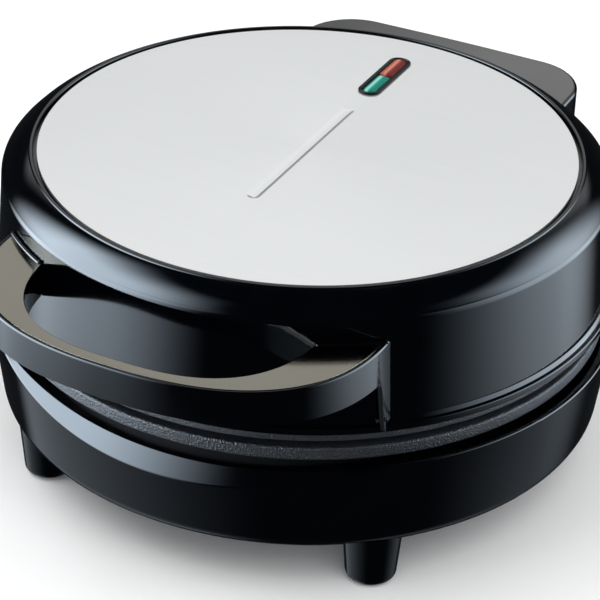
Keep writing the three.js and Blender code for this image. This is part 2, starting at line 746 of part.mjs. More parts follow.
function lampHolderSolid() {
  const half = bezelWidth / 2;
  const reach = bezelLength / 2;
  const bottom = lampHolderTop - lampHolderDepth;
  const plan = roundedPlan(half + lampHolderWall, lampCentre - reach, lampCentre + reach, lampHolderRound);
  const box = prism(plan, bottom, lampHolderTop);
  const cellReach = lampSpacing - lampHolderWall;
  const cells = [-1, 1].map((side) => block(
    [-half, lampCentre + side * lampSpacing - cellReach, bottom + lampHolderWall],
    [half, lampCentre + side * lampSpacing + cellReach, lampHolderTop + cutOverrun]));
  return box.subtract(join(cells));
}

function lampSolid(side) {
  const bottom = lampHolderTop - lampHolderDepth + lampHolderWall + fitGap;
  const tip = bottom + lampLength;
  return revolve(rounded([
    [0, bottom], [lampRadius, bottom], [lampRadius, tip, lampRadius], [0, tip],
  ], 1), smallSides).translate([0, lampCentre + side * lampSpacing, 0]);
}

// Points of the front half of a superellipse, from its left end round the tip to its right end
function frontCurve(halfWidth, reach, power) {
  return Array.from({ length: handleSteps + 1 }, (_, k) => {
    const angle = Math.PI + Math.PI * k / handleSteps;
    const c = Math.cos(angle);
    const s = Math.sin(angle);
    return [
      halfWidth * Math.sign(c) * Math.abs(c) ** (2 / power),
      handleCentre - reach * Math.abs(s) ** (2 / power),
    ];
  });
}

// U-shaped plan between an outer and an inner front curve, with its roots inside the lid wall
function uOutline(outer, inner) {
  const rootY = handleCentre + handleWall * 2;
  return [
    [outer[0][0], rootY], ...outer, [-outer[0][0], rootY],
    [-inner[0][0], rootY], ...[...inner].reverse(), [inner[0][0], rootY],
  ];
}

const handleEdge = (inset, flare = 0) => (
  frontCurve(handleHalfWidth + flare - inset, handleReach - inset, handlePower)
);
const loopEdge = (inset) => frontCurve(loopHalfWidth + inset, loopReach + inset, loopPower);

function handleSolid() {
  const coverSeat = handleTop - handleCoverThickness - fitGap;
  const legTip = handleBottom - legDrop;
  const whole = flaredPrism(uOutline(handleEdge(0, handleFlare), loopEdge(0)),
    uOutline(handleEdge(0), loopEdge(0)), legTip, handleTop);
  const inside = flaredPrism(
    uOutline(handleEdge(legWall, handleFlare), loopEdge(-cutOverrun)),
    uOutline(handleEdge(legWall), loopEdge(-cutOverrun)), legTip, handleTop);
  const coverPlan = uOutline(handleEdge(handleRim), loopEdge(-cutOverrun));
  const coverRoom = prism(coverPlan, coverSeat, handleTop + cutOverrun);
  const pocketPlan = uOutline(handleEdge(handleWall), loopEdge(handleWall));
  const pocket = prism(pocketPlan, handleBottom - cutOverrun, coverSeat - handleWall)
    .intersect(block([-handleHalfWidth, handleCentre - handlePocketFront, handleBottom - cutOverrun],
      [handleHalfWidth, 0, handleTop]))
    .subtract(lidPlug(fitGap + handleWall));
  const bosses = bothSides.map(([, side]) => rodY(
    handleScrewBossRadius, side * handleScrewOffset, handleMiddle,
    handleWallY - handleScrewLength, handleWallY));
  const bores = bothSides.map(([, side]) => rodY(
    screwHoleRadius, side * handleScrewOffset, handleMiddle,
    handleWallY - handleScrewLength + handleWall, handleWallY + cutOverrun));

  // Each arm ends in a gusset and a slim leg that runs down the lid wall past its lip
  const reach = handleHalfWidth + handleFlare;
  const legBack = handleCentre + handleWall * 2;
  const tipY = -Math.sqrt(lidEdgeRadius ** 2 - reach ** 2) - fitGap;
  const legSide = rounded([
    [legBack, legTip], [tipY - legTipWidth, legTip, legRound],
    [tipY - legTopWidth, handleBottom - gussetDrop, legRound],
    [handleCentre - gussetReach, handleBottom], [handleCentre - gussetReach, coverSeat],
    [legBack, coverSeat],
  ], 3);
  const legs = sidePrism(legSide, -reach - cutOverrun, reach + cutOverrun).subtract(inside);
  const skirt = block([-reach - cutOverrun, handleFront - cutOverrun, handleBottom],
    [reach + cutOverrun, 0, handleTop]);
  return whole.intersect(skirt.add(legs)).subtract(pocket).add(join(bosses)).subtract(coverRoom)
    .subtract(lidPlug(fitGap, legTip)).subtract(join(bores));
}

function handleCoverSolid() {
  const plan = uOutline(handleEdge(handleRim + fitGap), loopEdge(0));
  return prism(plan, handleTop - handleCoverThickness, handleTop).subtract(lidPlug(fitGap));
}

function thermostatSolid() {
  const top = lowerParting - mouldFloor - fitGap;
  const can = rodZ(thermostatRadius, 0, 0, top - thermostatHeight, top, footSides);
  const tab = block(
    [-thermostatTabLength / 2, -thermostatTabWidth / 2, top - thermostatTabThickness],
    [thermostatTabLength / 2, thermostatTabWidth / 2, top]);
  return can.add(tab);
}

function terminalBlockSolid() {
  const back = pivotY - terminalDepth / 2;
  const body = block([-terminalWidth / 2, back - terminalDepth, floorTop + fitGap],
    [terminalWidth / 2, back, floorTop + fitGap + terminalHeight]);
  const pitch = terminalWidth / terminalPoles;
  const ways = Array.from({ length: terminalPoles }, (_, k) => rodY(
    terminalHoleRadius, pitch * (k - (terminalPoles - 1) / 2), floorTop + fitGap + terminalHeight / 2,
    back - terminalDepth - cutOverrun, back + cutOverrun));
  return body.subtract(join(ways));
}

function glandSolid() {
  const outerLip = glandBack;
  const innerEnd = hingeBack - hingeWall - glandFlangeThickness;
  return revolve([
    [glandBoreRadius, innerEnd], [glandRadius, innerEnd], [glandRadius, hingeBack + fitGap],
    [glandFlangeRadius, hingeBack + fitGap], [glandFlangeRadius, outerLip - glandFlangeThickness / 3],
    [glandFlangeRadius - glandFlangeThickness / 2, outerLip], [glandBoreRadius, outerLip],
  ], footSides).rotate([-90, 0, 0]).translate([0, 0, footHeight + glandHeight]);
}

function padSolid() {
  return revolve([
    [0, 0], [padRadius - padProud, 0], [padRadius, padProud], [padRadius, padThickness], [0, padThickness],
  ], smallSides);
}

function pinSolid(side) {
  const inner = barrelHalfWidth - pinEngagement;
  const outer = hingeHalfWidth - hingeTaper - pinInset;
  return rodX(pinRadius, pivotY, pivotHeight, Math.min(side * inner, side * outer),
    Math.max(side * inner, side * outer));
}

const lowerSeat = lowerParting - shellBossDrop - seatThickness - fitGap;
const upperSeat = upperParting + shellBossDrop + seatThickness + fitGap;
const elementDrop = mouldFloor + fitGap + elementTubeRadius;

// Places a piece in a group under its name
function place(group, name, material, solid, [x, y, z] = [0, 0, 0]) {
  group.add(meshOf(name, solid.translate([x, y, z]), material));
}

const fuseY = mouldOuterRadius / 2 - mouldPitch;
const fuseHeight = lowerParting - mouldFloor - fitGap - fuseRadius;
const fuse = rodX(fuseRadius, fuseY, fuseHeight, -fuseLength / 2, fuseLength / 2, fuseSides);

const baseGroup = new THREE.Group();
place(baseGroup, "base_shell", glossBlack, baseShell());
place(baseGroup, "lower_plate", coatedAluminium,
  plateSolid(lowerRimHeight, baseScrews), [0, 0, lowerParting]);
place(baseGroup, "lower_element", bareSteel, elementSolid(), [0, 0, lowerParting - elementDrop]);
place(baseGroup, "lower_reflector", bareSteel,
  reflectorSolid(baseScrews), [0, 0, lowerParting - reflectorDrop]);
place(baseGroup, "thermostat", bareSteel, thermostatSolid());
place(baseGroup, "thermal_fuse", ceramic, fuse);
place(baseGroup, "terminal_block", ceramic, terminalBlockSolid());
place(baseGroup, "cord_gland", darkRubber, glandSolid());
for (const { corner, x, y } of baseScrews) {
  place(baseGroup, `foot_pad_${corner}`, darkRubber, padSolid(), [x, y, 0]);
  place(baseGroup, `lower_plate_screw_${corner}`, bareSteel, screwSolid(screwLength), [x, y, lowerSeat]);
}

const lidGroup = new THREE.Group();
const upsideDown = [0, 180, 0];
place(lidGroup, "lid_shell", glossBlack, lidShell());
place(lidGroup, "lid_panel", brushedSteel, panelSolid());
place(lidGroup, "handle", glossBlack, handleSolid());
place(lidGroup, "handle_cover", satinGrey, handleCoverSolid());
place(lidGroup, "upper_plate", coatedAluminium,
  plateSolid(upperRimHeight, lidScrews).rotate(upsideDown), [0, 0, upperParting]);
place(lidGroup, "upper_element", bareSteel, elementSolid(), [0, 0, upperParting + elementDrop]);
place(lidGroup, "upper_reflector", bareSteel,
  reflectorSolid(lidScrews).rotate(upsideDown), [0, 0, upperParting + reflectorDrop]);
place(lidGroup, "lamp_bezel", glossBlack, bezelSolid());
place(lidGroup, "lamp_lens_green", greenLens, lensSolid(-1));
place(lidGroup, "lamp_lens_red", redLens, lensSolid(1));
place(lidGroup, "lamp_holder", glossBlack, lampHolderSolid());
place(lidGroup, "lamp_green", lampGlass, lampSolid(-1));
place(lidGroup, "lamp_red", lampGlass, lampSolid(1));
for (const { corner, x, y } of lidScrews) {
  place(lidGroup, `upper_plate_screw_${corner}`, bareSteel,
    screwSolid(screwLength).rotate(upsideDown), [x, y, upperSeat]);
}
for (const [name, side] of bothSides) {
  place(lidGroup, `handle_screw_${name}`, bareSteel, screwSolid(handleScrewLength).rotate([90, 0, 0]),
    [side * handleScrewOffset, handleWallY + handleSeatThickness + fitGap, handleMiddle]);
  place(lidGroup, `hinge_pin_${name}`, bareSteel, pinSolid(side));
}

const doughnutMaker = new THREE.Group();
doughnutMaker.add(baseGroup, lidGroup);
doughnutMaker.position.y = -originY;

export default doughnutMaker;
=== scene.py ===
"""Looks of the mini doughnut maker.

Shapes are made in millimetres in the model's own frame and stored in metres. Its Y starts at the middle of the
round body, which lies SHIFT_Y behind the middle of the whole box.
"""
import json
import math

import bmesh
import bpy
from mathutils import Matrix, Vector


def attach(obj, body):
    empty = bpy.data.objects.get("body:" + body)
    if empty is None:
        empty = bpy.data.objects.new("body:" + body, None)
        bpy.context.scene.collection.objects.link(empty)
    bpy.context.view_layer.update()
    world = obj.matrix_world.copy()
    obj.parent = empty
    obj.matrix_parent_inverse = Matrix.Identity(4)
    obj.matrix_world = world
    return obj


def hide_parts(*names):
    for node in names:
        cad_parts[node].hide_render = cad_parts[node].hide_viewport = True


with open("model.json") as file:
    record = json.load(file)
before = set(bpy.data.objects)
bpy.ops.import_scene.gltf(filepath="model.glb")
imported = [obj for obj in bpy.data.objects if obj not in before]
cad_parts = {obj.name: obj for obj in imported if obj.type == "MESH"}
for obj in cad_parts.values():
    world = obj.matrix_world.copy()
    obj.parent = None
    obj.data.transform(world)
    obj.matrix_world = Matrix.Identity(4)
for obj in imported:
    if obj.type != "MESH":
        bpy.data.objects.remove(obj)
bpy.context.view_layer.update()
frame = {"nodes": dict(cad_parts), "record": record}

MM = 0.001
SHIFT_Y = 2.3
OVERRUN = 2.0       # how far a cutter reaches past what it cuts
FIT = 0.3           # gap between pieces that sit in one another
FAR = 80.0          # half length of a cutter that is wider than the handle and the hinge block
ABOVE = 120.0       # height over everything
SIDES = 288         # facets round the body; the six below are for smaller pieces
ROUND_SIDES = 96
FOOT_SIDES = 64
MOULD_SIDES = 120
BORE_SIDES = 48
POST_SIDES = 32
HOLE_SIDES = 24
FINE = 7            # steps in a rounded corner
TAU = math.tau
QUARTER = math.pi / 2

# Mould plates; depths are from the parting face, and LOWER_PARTING and UPPER_PARTING are its heights
MOULD_OUTER = 29.0
MOULD_HUB = 8.0
MOULD_DEPTH = 10.0
MOULD_PITCH = 64.0
MOULD_WALL = 2.5
PLATE_BODY = 103.2
PLATE_RADIUS = 108.0
PLATE_SHEET = 3.0
SKIRT_WALL = 2.5
SKIRT_DEPTH = 18.6
LOWER_RIM = 4.75
UPPER_RIM = 5.5
LOWER_PARTING = 61.35
UPPER_PARTING = 63.9
MOULD_LIP = 1.0
MOULD_LIP_DEPTH = 0.7
CUP_FLOOR = 26.5    # radii of the drafted cup behind a mould
CUP_ROOT = 31.5
BOSS_RADIUS = 5.0
BOSS_START = 1.5
BOSS_END = 21.3
SCREW_HOLE = 2.2
SCREW_HOLE_START = 22.0
SCREW_HOLE_END = 5.5

# Base shell
FOOT_HEIGHT = 20.0
BASE_TOP = 55.5
BASE_BOTTOM_RADIUS = 108.0
BASE_RIM_RADIUS = 112.5
BASE_WALL = 2.5
LAND_RADIUS = 104.0
OUTER_ROUND = 6.0
SCOOP_SLOPE = 12.1 / 29.0
SCOOP_START = -83.5
BROW_DROP = 0.46    # share of the scoop's depth that the chamfer's top lies down
BROW_INSET = 1.2
BROW_LEAN = 0.30
LAND_FALL = 1.5     # how far the land falls inwards, less by this share of the scoop's depth
LAND_FALL_LOSS = 0.13
REAR_PLUG = ((105.4, 0), (107.4, FOOT_HEIGHT + 4), (110.6, BASE_TOP))   # what the round body fills of the block
FOOT_CIRCLE = 96.3
FOOT_ANGLE = math.radians(41.6)
FOOT_END = 0.8
FOOT_END_RADIUS = 8.7
FOOT_ROOT_RADIUS = 10.4
PAD_RADIUS = 6.2
PAD_HEIGHT = 3.0
WELL_RADIUS = 4.4
WELL_TOP = 24.4
VENTS = 7
VENT_PITCH = 10.0
VENT_HALF = 2.0
VENT_REACH = 17.0
GLAND_HEIGHT = FOOT_HEIGHT + 13
GLAND_HOLE = 5.7
GLAND_BARREL = 5.4
GLAND_BORE = 3.4
GLAND_LIP = 7.6

# Lid shell
LID_BOTTOM = 68.6
LID_LIP_TOP = 71.3
LID_EDGE = 111.3
LID_FOOT = 108.8
LID_FOOT_HEIGHT = 72.2
LID_SHOULDER = 106.6
LID_SHOULDER_HEIGHT = 107.9
LID_SLOPE_RISE = 7.0
BEAD_OUTER = 97.1
BEAD_INNER = 95.3
BEAD_TOP = 115.3
DECK_TOP = 113.3
LID_WALL = 2.5
LID_SCREW_CIRCLE = 84.43
POST_RADIUS = 6.8
POST_END = 86.6
POST_WELL = 100.6
POST_TOP = 112.0
PANEL_RADIUS = 94.3
PANEL_TOP = 114.8
PANEL_THICKNESS = 1.2
GROOVE = (2.4, -43, 34)         # half width, front end, back end
LAMP_SLOT = (3.8, 46.1, 78.7)
BEZEL = (4.2, 45.7, 79.1)
LENSES = {"green": (47.3, 61.7, 2.2, 0.4), "red": (63.1, 77.5, 0.4, 2.2)}   # ends and corner radii
LENS_HALF = 2.5
LENS_RISE = 0.7
LENS_EDGE = 1.5
LENS_DEPTH = 2.4

# Handle
HANDLE_CENTRE = -82.0
HANDLE_TOP = 100.8
HANDLE_BOTTOM = 88.8
HANDLE_HALF = 70.4
HANDLE_FLARE = 2.1
LEG_TIP = 68.5
HANDLE_REACH = 56.5
HANDLE_POWER = 2.4
LOOP_HALF = 51.0
LOOP_REACH = 50.8
LOOP_POWER = 2.7
COVER_SEAT = HANDLE_TOP - 2.3
HANDLE_WALL = 2.6
LEG_WALL = 1.6
BEAD_RADIUS = 0.7

# Hinge
PIVOT_Y = 118.0
PIVOT_Z = 62.625
PIVOT = (0, PIVOT_Y, PIVOT_Z)
HINGE_HALF = 57.6
HINGE_NARROW = 56.4
HINGE_CORNER = 21.0
PIN_END = 53.6
HINGE_BULGE = 1.2
HINGE_BACK = 131.6
CHEEK_INNER = 43.6
CHEEK_RADIUS = 13.6
BARREL_RADIUS = 8.8
BARREL_HALF = 42.4
BARREL_SWEEP = 10.0
PIN_SEAT = 10.0
BASE_BLOCK_TOP = 44.0
BASE_BLOCK_FRONT = 40.0
LID_BLOCK_FRONT = 53.7
HINGE_WALL = 2.5
OVER_CENTRE = math.radians(10)     # how far past upright the lid opens
PIN_RADIUS = 2.5
PIN_HOLE = 2.8


# ---- making meshes ----
def new_object(name, points, faces):
    """Object from points in millimetres, with its faces pointing out."""
    mesh = bpy.data.meshes.new(name)
    mesh.from_pydata([(x * MM, (y + SHIFT_Y) * MM, z * MM) for x, y, z in points], [], faces)
    bm = bmesh.new()
    bm.from_mesh(mesh)
    bmesh.ops.remove_doubles(bm, verts=bm.verts, dist=1e-7)
    bmesh.ops.dissolve_degenerate(bm, edges=bm.edges, dist=1e-8)
    bmesh.ops.recalc_face_normals(bm, faces=bm.faces)
    bm.to_mesh(mesh)
    bm.free()
    obj = bpy.data.objects.new(name, mesh)
    bpy.context.scene.collection.objects.link(obj)
    return obj


def loft(name, rings, wrap=False, closed=True):
    """Skin over rings of as many points each.

    wrap joins the last ring to the first, and closed joins the ends of each ring.
    """
    count = len(rings[0])
    points = [p for ring in rings for p in ring]
    faces = []
    for i in range(len(rings) if wrap else len(rings) - 1):
        a, b = i * count, (i + 1) % len(rings) * count
        for j in range(count if closed else count - 1):
            k = (j + 1) % count
            faces.append((a + j, a + k, b + k, b + j))
    if closed and not wrap:
        faces.append(tuple(range(count)))
        faces.append(tuple(range(len(points) - count, len(points))))
    return new_object(name, points, faces)


def turned(name, profile, sides=SIDES, axis="z", centre=(0, 0, 0)):
    """Solid of revolution of [radius, height] points, or of what profile(angle) gives.

    The profile either starts and ends on the axis or closes on itself.
    """
    rings = []
    for k in range(sides):
        angle = TAU * k / sides
        path = profile(angle) if callable(profile) else profile
        c, s = math.cos(angle), math.sin(angle)
        if axis == "z":
            ring = [(r * c, r * s, h) for r, h in path]
        elif axis == "y":
            ring = [(r * c, h, r * s) for r, h in path]
        else:
            ring = [(h, r * c, r * s) for r, h in path]
        rings.append([(x + centre[0], y + centre[1], z + centre[2]) for x, y, z in ring])
    on_axis = abs((profile(0) if callable(profile) else profile)[0][0]) < 1e-9
    return loft(name, rings, wrap=True, closed=not on_axis)


def cylinder(name, radius, low, high, sides, axis="z", centre=(0, 0, 0)):
    """Plain round solid between two heights along its axis."""
    return turned(name, [(0, low), (radius, low), (radius, high), (0, high)], sides, axis, centre)


def prism(name, outline, levels):
    """Upright solid: outline(inset) gives the plan's points, and levels are [height, inset] pairs."""
    return loft(name, [[(x, y, z) for x, y in outline(inset)] for z, inset in levels])


def side_prism(name, points, left, right):
    """Solid of a [y, z] outline between two X places."""
    return loft(name, [[(x, y, z) for y, z in points] for x in (left, right)])


def block(name, low, high):
    """Box between two corners."""
    (x0, y0, z0), (x1, y1, z1) = low, high
    plan = [(x0, y0), (x1, y0), (x1, y1), (x0, y1)]
    return loft(name, [[(x, y, z) for x, y in plan] for z in (z0, z1)])


def rounded(path, steps=FINE):
    """Path of (x, y) or (x, y, radius) points with its corners rounded."""
    out = []
    for i, point in enumerate(path):
        if len(point) == 2 or point[2] == 0:
            out.append((point[0], point[1]))
            continue
        corner = Vector(point[:2])
        back = Vector(path[i - 1][:2]) - corner
        ahead = Vector(path[(i + 1) % len(path)][:2]) - corner
        room = min(back.length, ahead.length) / 2
        back.normalize()
        ahead.normalize()
        half = math.acos(max(-1, min(1, back.dot(ahead)))) / 2
        reach = min(point[2] / math.tan(half), room)
        start, end = corner + back * reach, corner + ahead * reach
        centre = corner + (back + ahead).normalized() * reach / math.cos(half)
        first = math.atan2(start.y - centre.y, start.x - centre.x)
        turn = math.atan2(end.y - centre.y, end.x - centre.x) - first
        turn = (turn + math.pi) % TAU - math.pi
        size = (start - centre).length
        for k in range(steps + 1):
            angle = first + turn * k / steps
            out.append((centre.x + size * math.cos(angle), centre.y + size * math.sin(angle)))
    return out


def bowed(a, b, bulge, steps):
    """Points between a and b that bulge to the right of the way."""
    way = Vector(b) - Vector(a)
    side = Vector((way.y, -way.x)).normalized()
    out = []
    for k in range(1, steps):
        t = k / steps
        p = Vector(a) + way * t + side * 4 * bulge * t * (1 - t)
        out.append((p.x, p.y))
    return out


def apply_modifiers(obj):
    """Turns the object's modifiers into its mesh."""
    depsgraph = bpy.context.evaluated_depsgraph_get()
    mesh = bpy.data.meshes.new_from_object(obj.evaluated_get(depsgraph))
    old = obj.data
    obj.modifiers.clear()
    obj.data = mesh
    bpy.data.meshes.remove(old)
    return obj


def combine(target, operation, *tools):
    """Joins, cuts or keeps what is common, and removes the tools."""
    for tool in tools:
        modifier = target.modifiers.new("combine", "BOOLEAN")
        modifier.operation = operation
        modifier.solver = "MANIFOLD"
        modifier.object = tool
        apply_modifiers(target)
        mesh = tool.data
        bpy.data.objects.remove(tool)
        bpy.data.meshes.remove(mesh)
    return target


def join(target, *tools):
    """Adds the tools to the target."""
    return combine(target, "UNION", *tools)


def cut(target, *tools):
    """Takes the tools out of the target."""
    return combine(target, "DIFFERENCE", *tools)


def keep(target, *tools):
    """Leaves what the target and the tools share."""
    return combine(target, "INTERSECT", *tools)


def bevel(obj, width, angle=40, segments=3):
    """Rounds the edges that are sharper than the angle."""
    modifier = obj.modifiers.new("bevel", "BEVEL")
    modifier.width = width * MM
    modifier.segments = segments
    modifier.limit_method = "ANGLE"
    modifier.angle_limit = math.radians(angle)
    return apply_modifiers(obj)


def shade(obj, angle=32, weighted=False):
    """Smooth shading that breaks at sharp edges; weighted keeps large flat faces flat."""
    obj.data.shade_smooth()
    obj.data.set_sharp_from_angle(angle=math.radians(angle))
    if weighted:
        modifier = obj.modifiers.new("normals", "WEIGHTED_NORMAL")
        modifier.keep_sharp = True
        apply_modifiers(obj)
    return obj


def finish_piece(obj, body, slot, material, *nodes):
    """Gives the piece its body and its finish, and hides the CAD nodes that it stands for."""
    if not any(obj.data.materials):
        obj.data.materials.clear()
        obj.data.materials.append(material)
    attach(obj, body)
    if nodes:
        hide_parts(*nodes)
    return obj


# ---- materials ----
class Nodes:
    """Short way to write a node tree."""

    def __init__(self, name):
        self.material = bpy.data.materials.new(name)
        self.material.use_nodes = True
        self.tree = self.material.node_tree
        self.shader = self.tree.nodes["Principled BSDF"]

    def add(self, kind, inputs=(), **settings):
        """New node with its inputs and settings."""
        node = self.tree.nodes.new(kind)
        for key, value in settings.items():
            setattr(node, key, value)
        for key, value in dict(inputs).items():
            self.put(node.inputs[key], value)
        return node

    def put(self, socket, value):
        """Links a socket to the input, or sets its plain value."""
        if isinstance(value, bpy.types.NodeSocket):
            self.tree.links.new(value, socket)
        else:
            socket.default_value = value

    def set(self, **values):
        """Sets the shader's own sockets, with _ for each space in a name."""
        for key, value in values.items():
            self.put(self.shader.inputs[key.replace("_", " ")], value)

    def place(self, scale=(1, 1, 1)):
        """Object coordinates, stretched."""
        coordinates = self.add("ShaderNodeTexCoord")
        mapping = self.add("ShaderNodeMapping", {"Scale": scale, "Vector": coordinates.outputs["Object"]})
        return mapping.outputs["Vector"]

    def noise(self, scale, detail=2.0, stretch=(1, 1, 1), roughness=0.5):
        """Noise in object coordinates."""
        return self.add("ShaderNodeTexNoise", {
            "Vector": self.place(stretch), "Scale": scale, "Detail": detail, "Roughness": roughness,
        }).outputs["Fac"]

    def between(self, factor, low, high, start=0.0, end=1.0):
        """Maps a factor from start..end to low..high."""
        return self.add("ShaderNodeMapRange", {
            "Value": factor, "From Min": start, "From Max": end, "To Min": low, "To Max": high,
        }).outputs["Result"]

    def axes(self, scale=(1, 1, 1)):
        """The X, Y and Z of the object coordinates."""
        return self.add("ShaderNodeSeparateXYZ", {"Vector": self.place(scale)}).outputs

    def math(self, operation, first, second=0.0):
        """One step of arithmetic."""
        return self.add("ShaderNodeMath", {0: first, 1: second}, operation=operation).outputs[0]

    def ramp(self, angle, zero, full):
        """Smooth step from 0 to 1 between two angles in degrees."""
        return self.add("ShaderNodeMapRange", {
            "Value": angle, "From Min": math.radians(zero), "From Max": math.radians(full),
        }, interpolation_type="SMOOTHSTEP").outputs["Result"]

    def blend(self, factor, first, second):
        """Colour between two colours."""
        node = self.tree.nodes.new("ShaderNodeMix")
        node.data_type = "RGBA"
        self.put(node.inputs[0], factor)
        self.put(node.inputs[6], first)
        self.put(node.inputs[7], second)
        return node.outputs[2]

    def bump(self, height, strength, distance):
        """Normals of a finely uneven surface."""
        return self.add("ShaderNodeBump", {
            "Height": height, "Strength": strength, "Distance": distance,
        }).outputs["Normal"]


def gloss_black():
    """Moulded gloss plastic with a trace of flow ripple and a little haze."""
    n = Nodes("gloss_black")
    haze = n.noise(90, 3)
    ripple = n.noise(22, 1)
    n.set(Base_Color=n.blend(haze, (0.0003, 0.0004, 0.0008, 1), (0.0007, 0.0009, 0.0016, 1)),
          Roughness=n.between(haze, 0.07, 0.10), Normal=n.bump(ripple, 0.03, 0.0006))
    n.set(Specular_IOR_Level=0.36, Specular_Tint=(0.90, 0.95, 1.0, 1))
    return n.material


def satin_grey():
    """Metallic satin paint: warm on the handle's cover, pale grey on the hinge's top, with a painted dark
    reflection that darkens the hinge top towards its left end.
    """
    n = Nodes("satin_grey")
    grain = n.noise(2600, 2)
    cloud = n.noise(40, 3)
    axes = n.axes()
    side = n.between(axes["Y"], 0.0, 1.0, -0.01, 0.01)
    warm = n.blend(cloud, (0.200, 0.190, 0.158, 1), (0.225, 0.214, 0.180, 1))
    # Painted dark reflection: the hinge top darkens from pale grey to near black towards its left end.
    across = n.between(axes["X"], 0.0, 1.0, -0.075, 0.02)
    pale = n.blend(cloud, (0.11, 0.112, 0.11, 1), (0.14, 0.142, 0.14, 1))
    pale_with_painted_reflection = n.blend(across, (0.02, 0.021, 0.021, 1), pale)
    n.set(Base_Color=n.blend(side, warm, pale_with_painted_reflection),
          Roughness=n.between(grain, 0.09, 0.13), Normal=n.bump(grain, 0.05, 0.00002))
    n.set(Metallic=1.0)
    return n.material


def brushed_steel():
    """Bright sheet, brushed along X."""
    n = Nodes("brushed_steel")
    lines = n.noise(1500, 4, (0.012, 1, 1), 0.6)
    fine = n.noise(5200, 2, (0.02, 1, 1), 0.6)
    cloud = n.noise(9, 2)
    n.set(Base_Color=n.blend(lines, (0.74, 0.752, 0.756, 1), (0.81, 0.818, 0.82, 1)),
          Roughness=n.between(cloud, 0.26, 0.32), Normal=n.bump(fine, 0.06, 0.00002))
    n.set(Metallic=0.8, Anisotropic=0.3)
    return n.material


def coated_plate():
    """Cast aluminium under a dark, finely grained coating."""
    n = Nodes("coated_plate")
    grain = n.noise(1500, 3)
    speck = n.noise(4200, 1)
    n.set(Base_Color=n.blend(speck, (0.007, 0.008, 0.010, 1), (0.022, 0.024, 0.029, 1)),
          Roughness=n.between(grain, 0.34, 0.52), Normal=n.bump(grain, 0.9, 0.0006))
    n.set(Specular_IOR_Level=0.40)
    return n.material


def plate_skirt_painted_shade():
    """Near-black, dull material of a mould plate's skirt: painted shade for the deep shade that the skirt sits
    in.
    """
    n = Nodes("plate_skirt_painted_shade")
    grain = n.noise(1500, 3)
    n.set(Base_Color=n.blend(grain, (0.002, 0.002, 0.002, 1), (0.005, 0.005, 0.006, 1)),
          Roughness=n.between(grain, 0.7, 0.85), Normal=n.bump(grain, 0.5, 0.0001))
    n.set(Specular_IOR_Level=0.1)
    return n.material


def bare_steel():
    """Zinc-plated steel of the pins and the hidden parts."""
    n = Nodes("bare_steel")
    cloud = n.noise(160, 3)
    n.set(Base_Color=n.blend(cloud, (0.46, 0.46, 0.46, 1), (0.56, 0.56, 0.55, 1)),
          Roughness=n.between(cloud, 0.28, 0.42))
    n.set(Metallic=1.0)
    return n.material


def black_rubber():
    """Soft, matt rubber of the pads and the gland."""
    n = Nodes("black_rubber")
    grain = n.noise(1800, 2)
    n.set(Base_Color=n.blend(grain, (0.016, 0.016, 0.017, 1), (0.028, 0.028, 0.028, 1)),
          Roughness=n.between(grain, 0.7, 0.85), Normal=n.bump(grain, 0.4, 0.0001))
    return n.material


def ceramic():
    """Off-white ceramic of the hidden insulators."""
    n = Nodes("ceramic")
    grain = n.noise(700, 3)
    n.set(Base_Color=n.blend(grain, (0.70, 0.66, 0.58, 1), (0.80, 0.77, 0.70, 1)),
          Roughness=n.between(grain, 0.5, 0.7))
    return n.material


def lens(name, left, painted_highlight, right):
    """Clear-coloured lens whose colour is painted to change across it: a pale streak just left of its middle is
    a painted highlight, and its lighter and darker ends are painted light and shade for light gathering inside
    it.
    """
    n = Nodes(name)
    cloud = n.noise(240, 2)
    across = n.axes((1 / MM, 1 / MM, 1 / MM))["X"]
    # Painted highlight: the colour goes from the left end to the pale streak, then as painted light and shade
    # to the right end.
    inner = n.blend(n.between(across, 0.0, 1.0, -1.5, -0.9), left, painted_highlight)
    colour = n.blend(n.between(across, 0.0, 1.0, -0.3, 0.5), inner, right)
    n.set(Base_Color=colour, Roughness=n.between(cloud, 0.06, 0.11))
    n.set(Specular_IOR_Level=0.08)
    return n.material


def lamp_trim():
    """Duller black of the lamps' frame."""
    n = Nodes("lamp_trim")
    haze = n.noise(400, 3)
    n.set(Base_Color=n.blend(haze, (0.003, 0.003, 0.002, 1), (0.006, 0.006, 0.004, 1)),
          Roughness=n.between(haze, 0.22, 0.30))
    n.set(Specular_IOR_Level=0.10)
    return n.material


def lamp_glass():
    """Warm, clear glass of the lamps inside."""
    n = Nodes("lamp_glass")
    cloud = n.noise(300, 2)
    n.set(Base_Color=n.blend(cloud, (0.86, 0.80, 0.66, 1), (0.94, 0.90, 0.80, 1)),
          Roughness=n.between(cloud, 0.05, 0.12))
    n.set(Transmission_Weight=0.5)
    return n.material


BLACK = gloss_black()
TRIM = lamp_trim()
SATIN = satin_grey()
STEEL = brushed_steel()
COATED = coated_plate()
PLATE_SKIRT_PAINTED_SHADE = plate_skirt_painted_shade()
BARE = bare_steel()
RUBBER = black_rubber()
CERAMIC = ceramic()
# Each lens: left end, pale painted highlight streak, right end; the ends carry painted light and shade.
GREEN = lens("lens_green", (0.0, 0.07, 0.055, 1), (0.22, 0.55, 0.48, 1), (0.0, 0.17, 0.13, 1))
RED = lens("lens_red", (0.30, 0.09, 0.065, 1), (0.50, 0.17, 0.12, 1), (0.13, 0.010, 0.007, 1))
GLASS = lamp_glass()
SLOT_MATERIAL = {
    "gloss_black": BLACK, "satin_grey": SATIN, "brushed_steel": STEEL, "coated_plate": COATED,
    "bare_steel": BARE, "black_rubber": RUBBER, "ceramic": CERAMIC, "lens_green": GREEN,
    "lens_red": RED, "lamp_glass": GLASS,
}


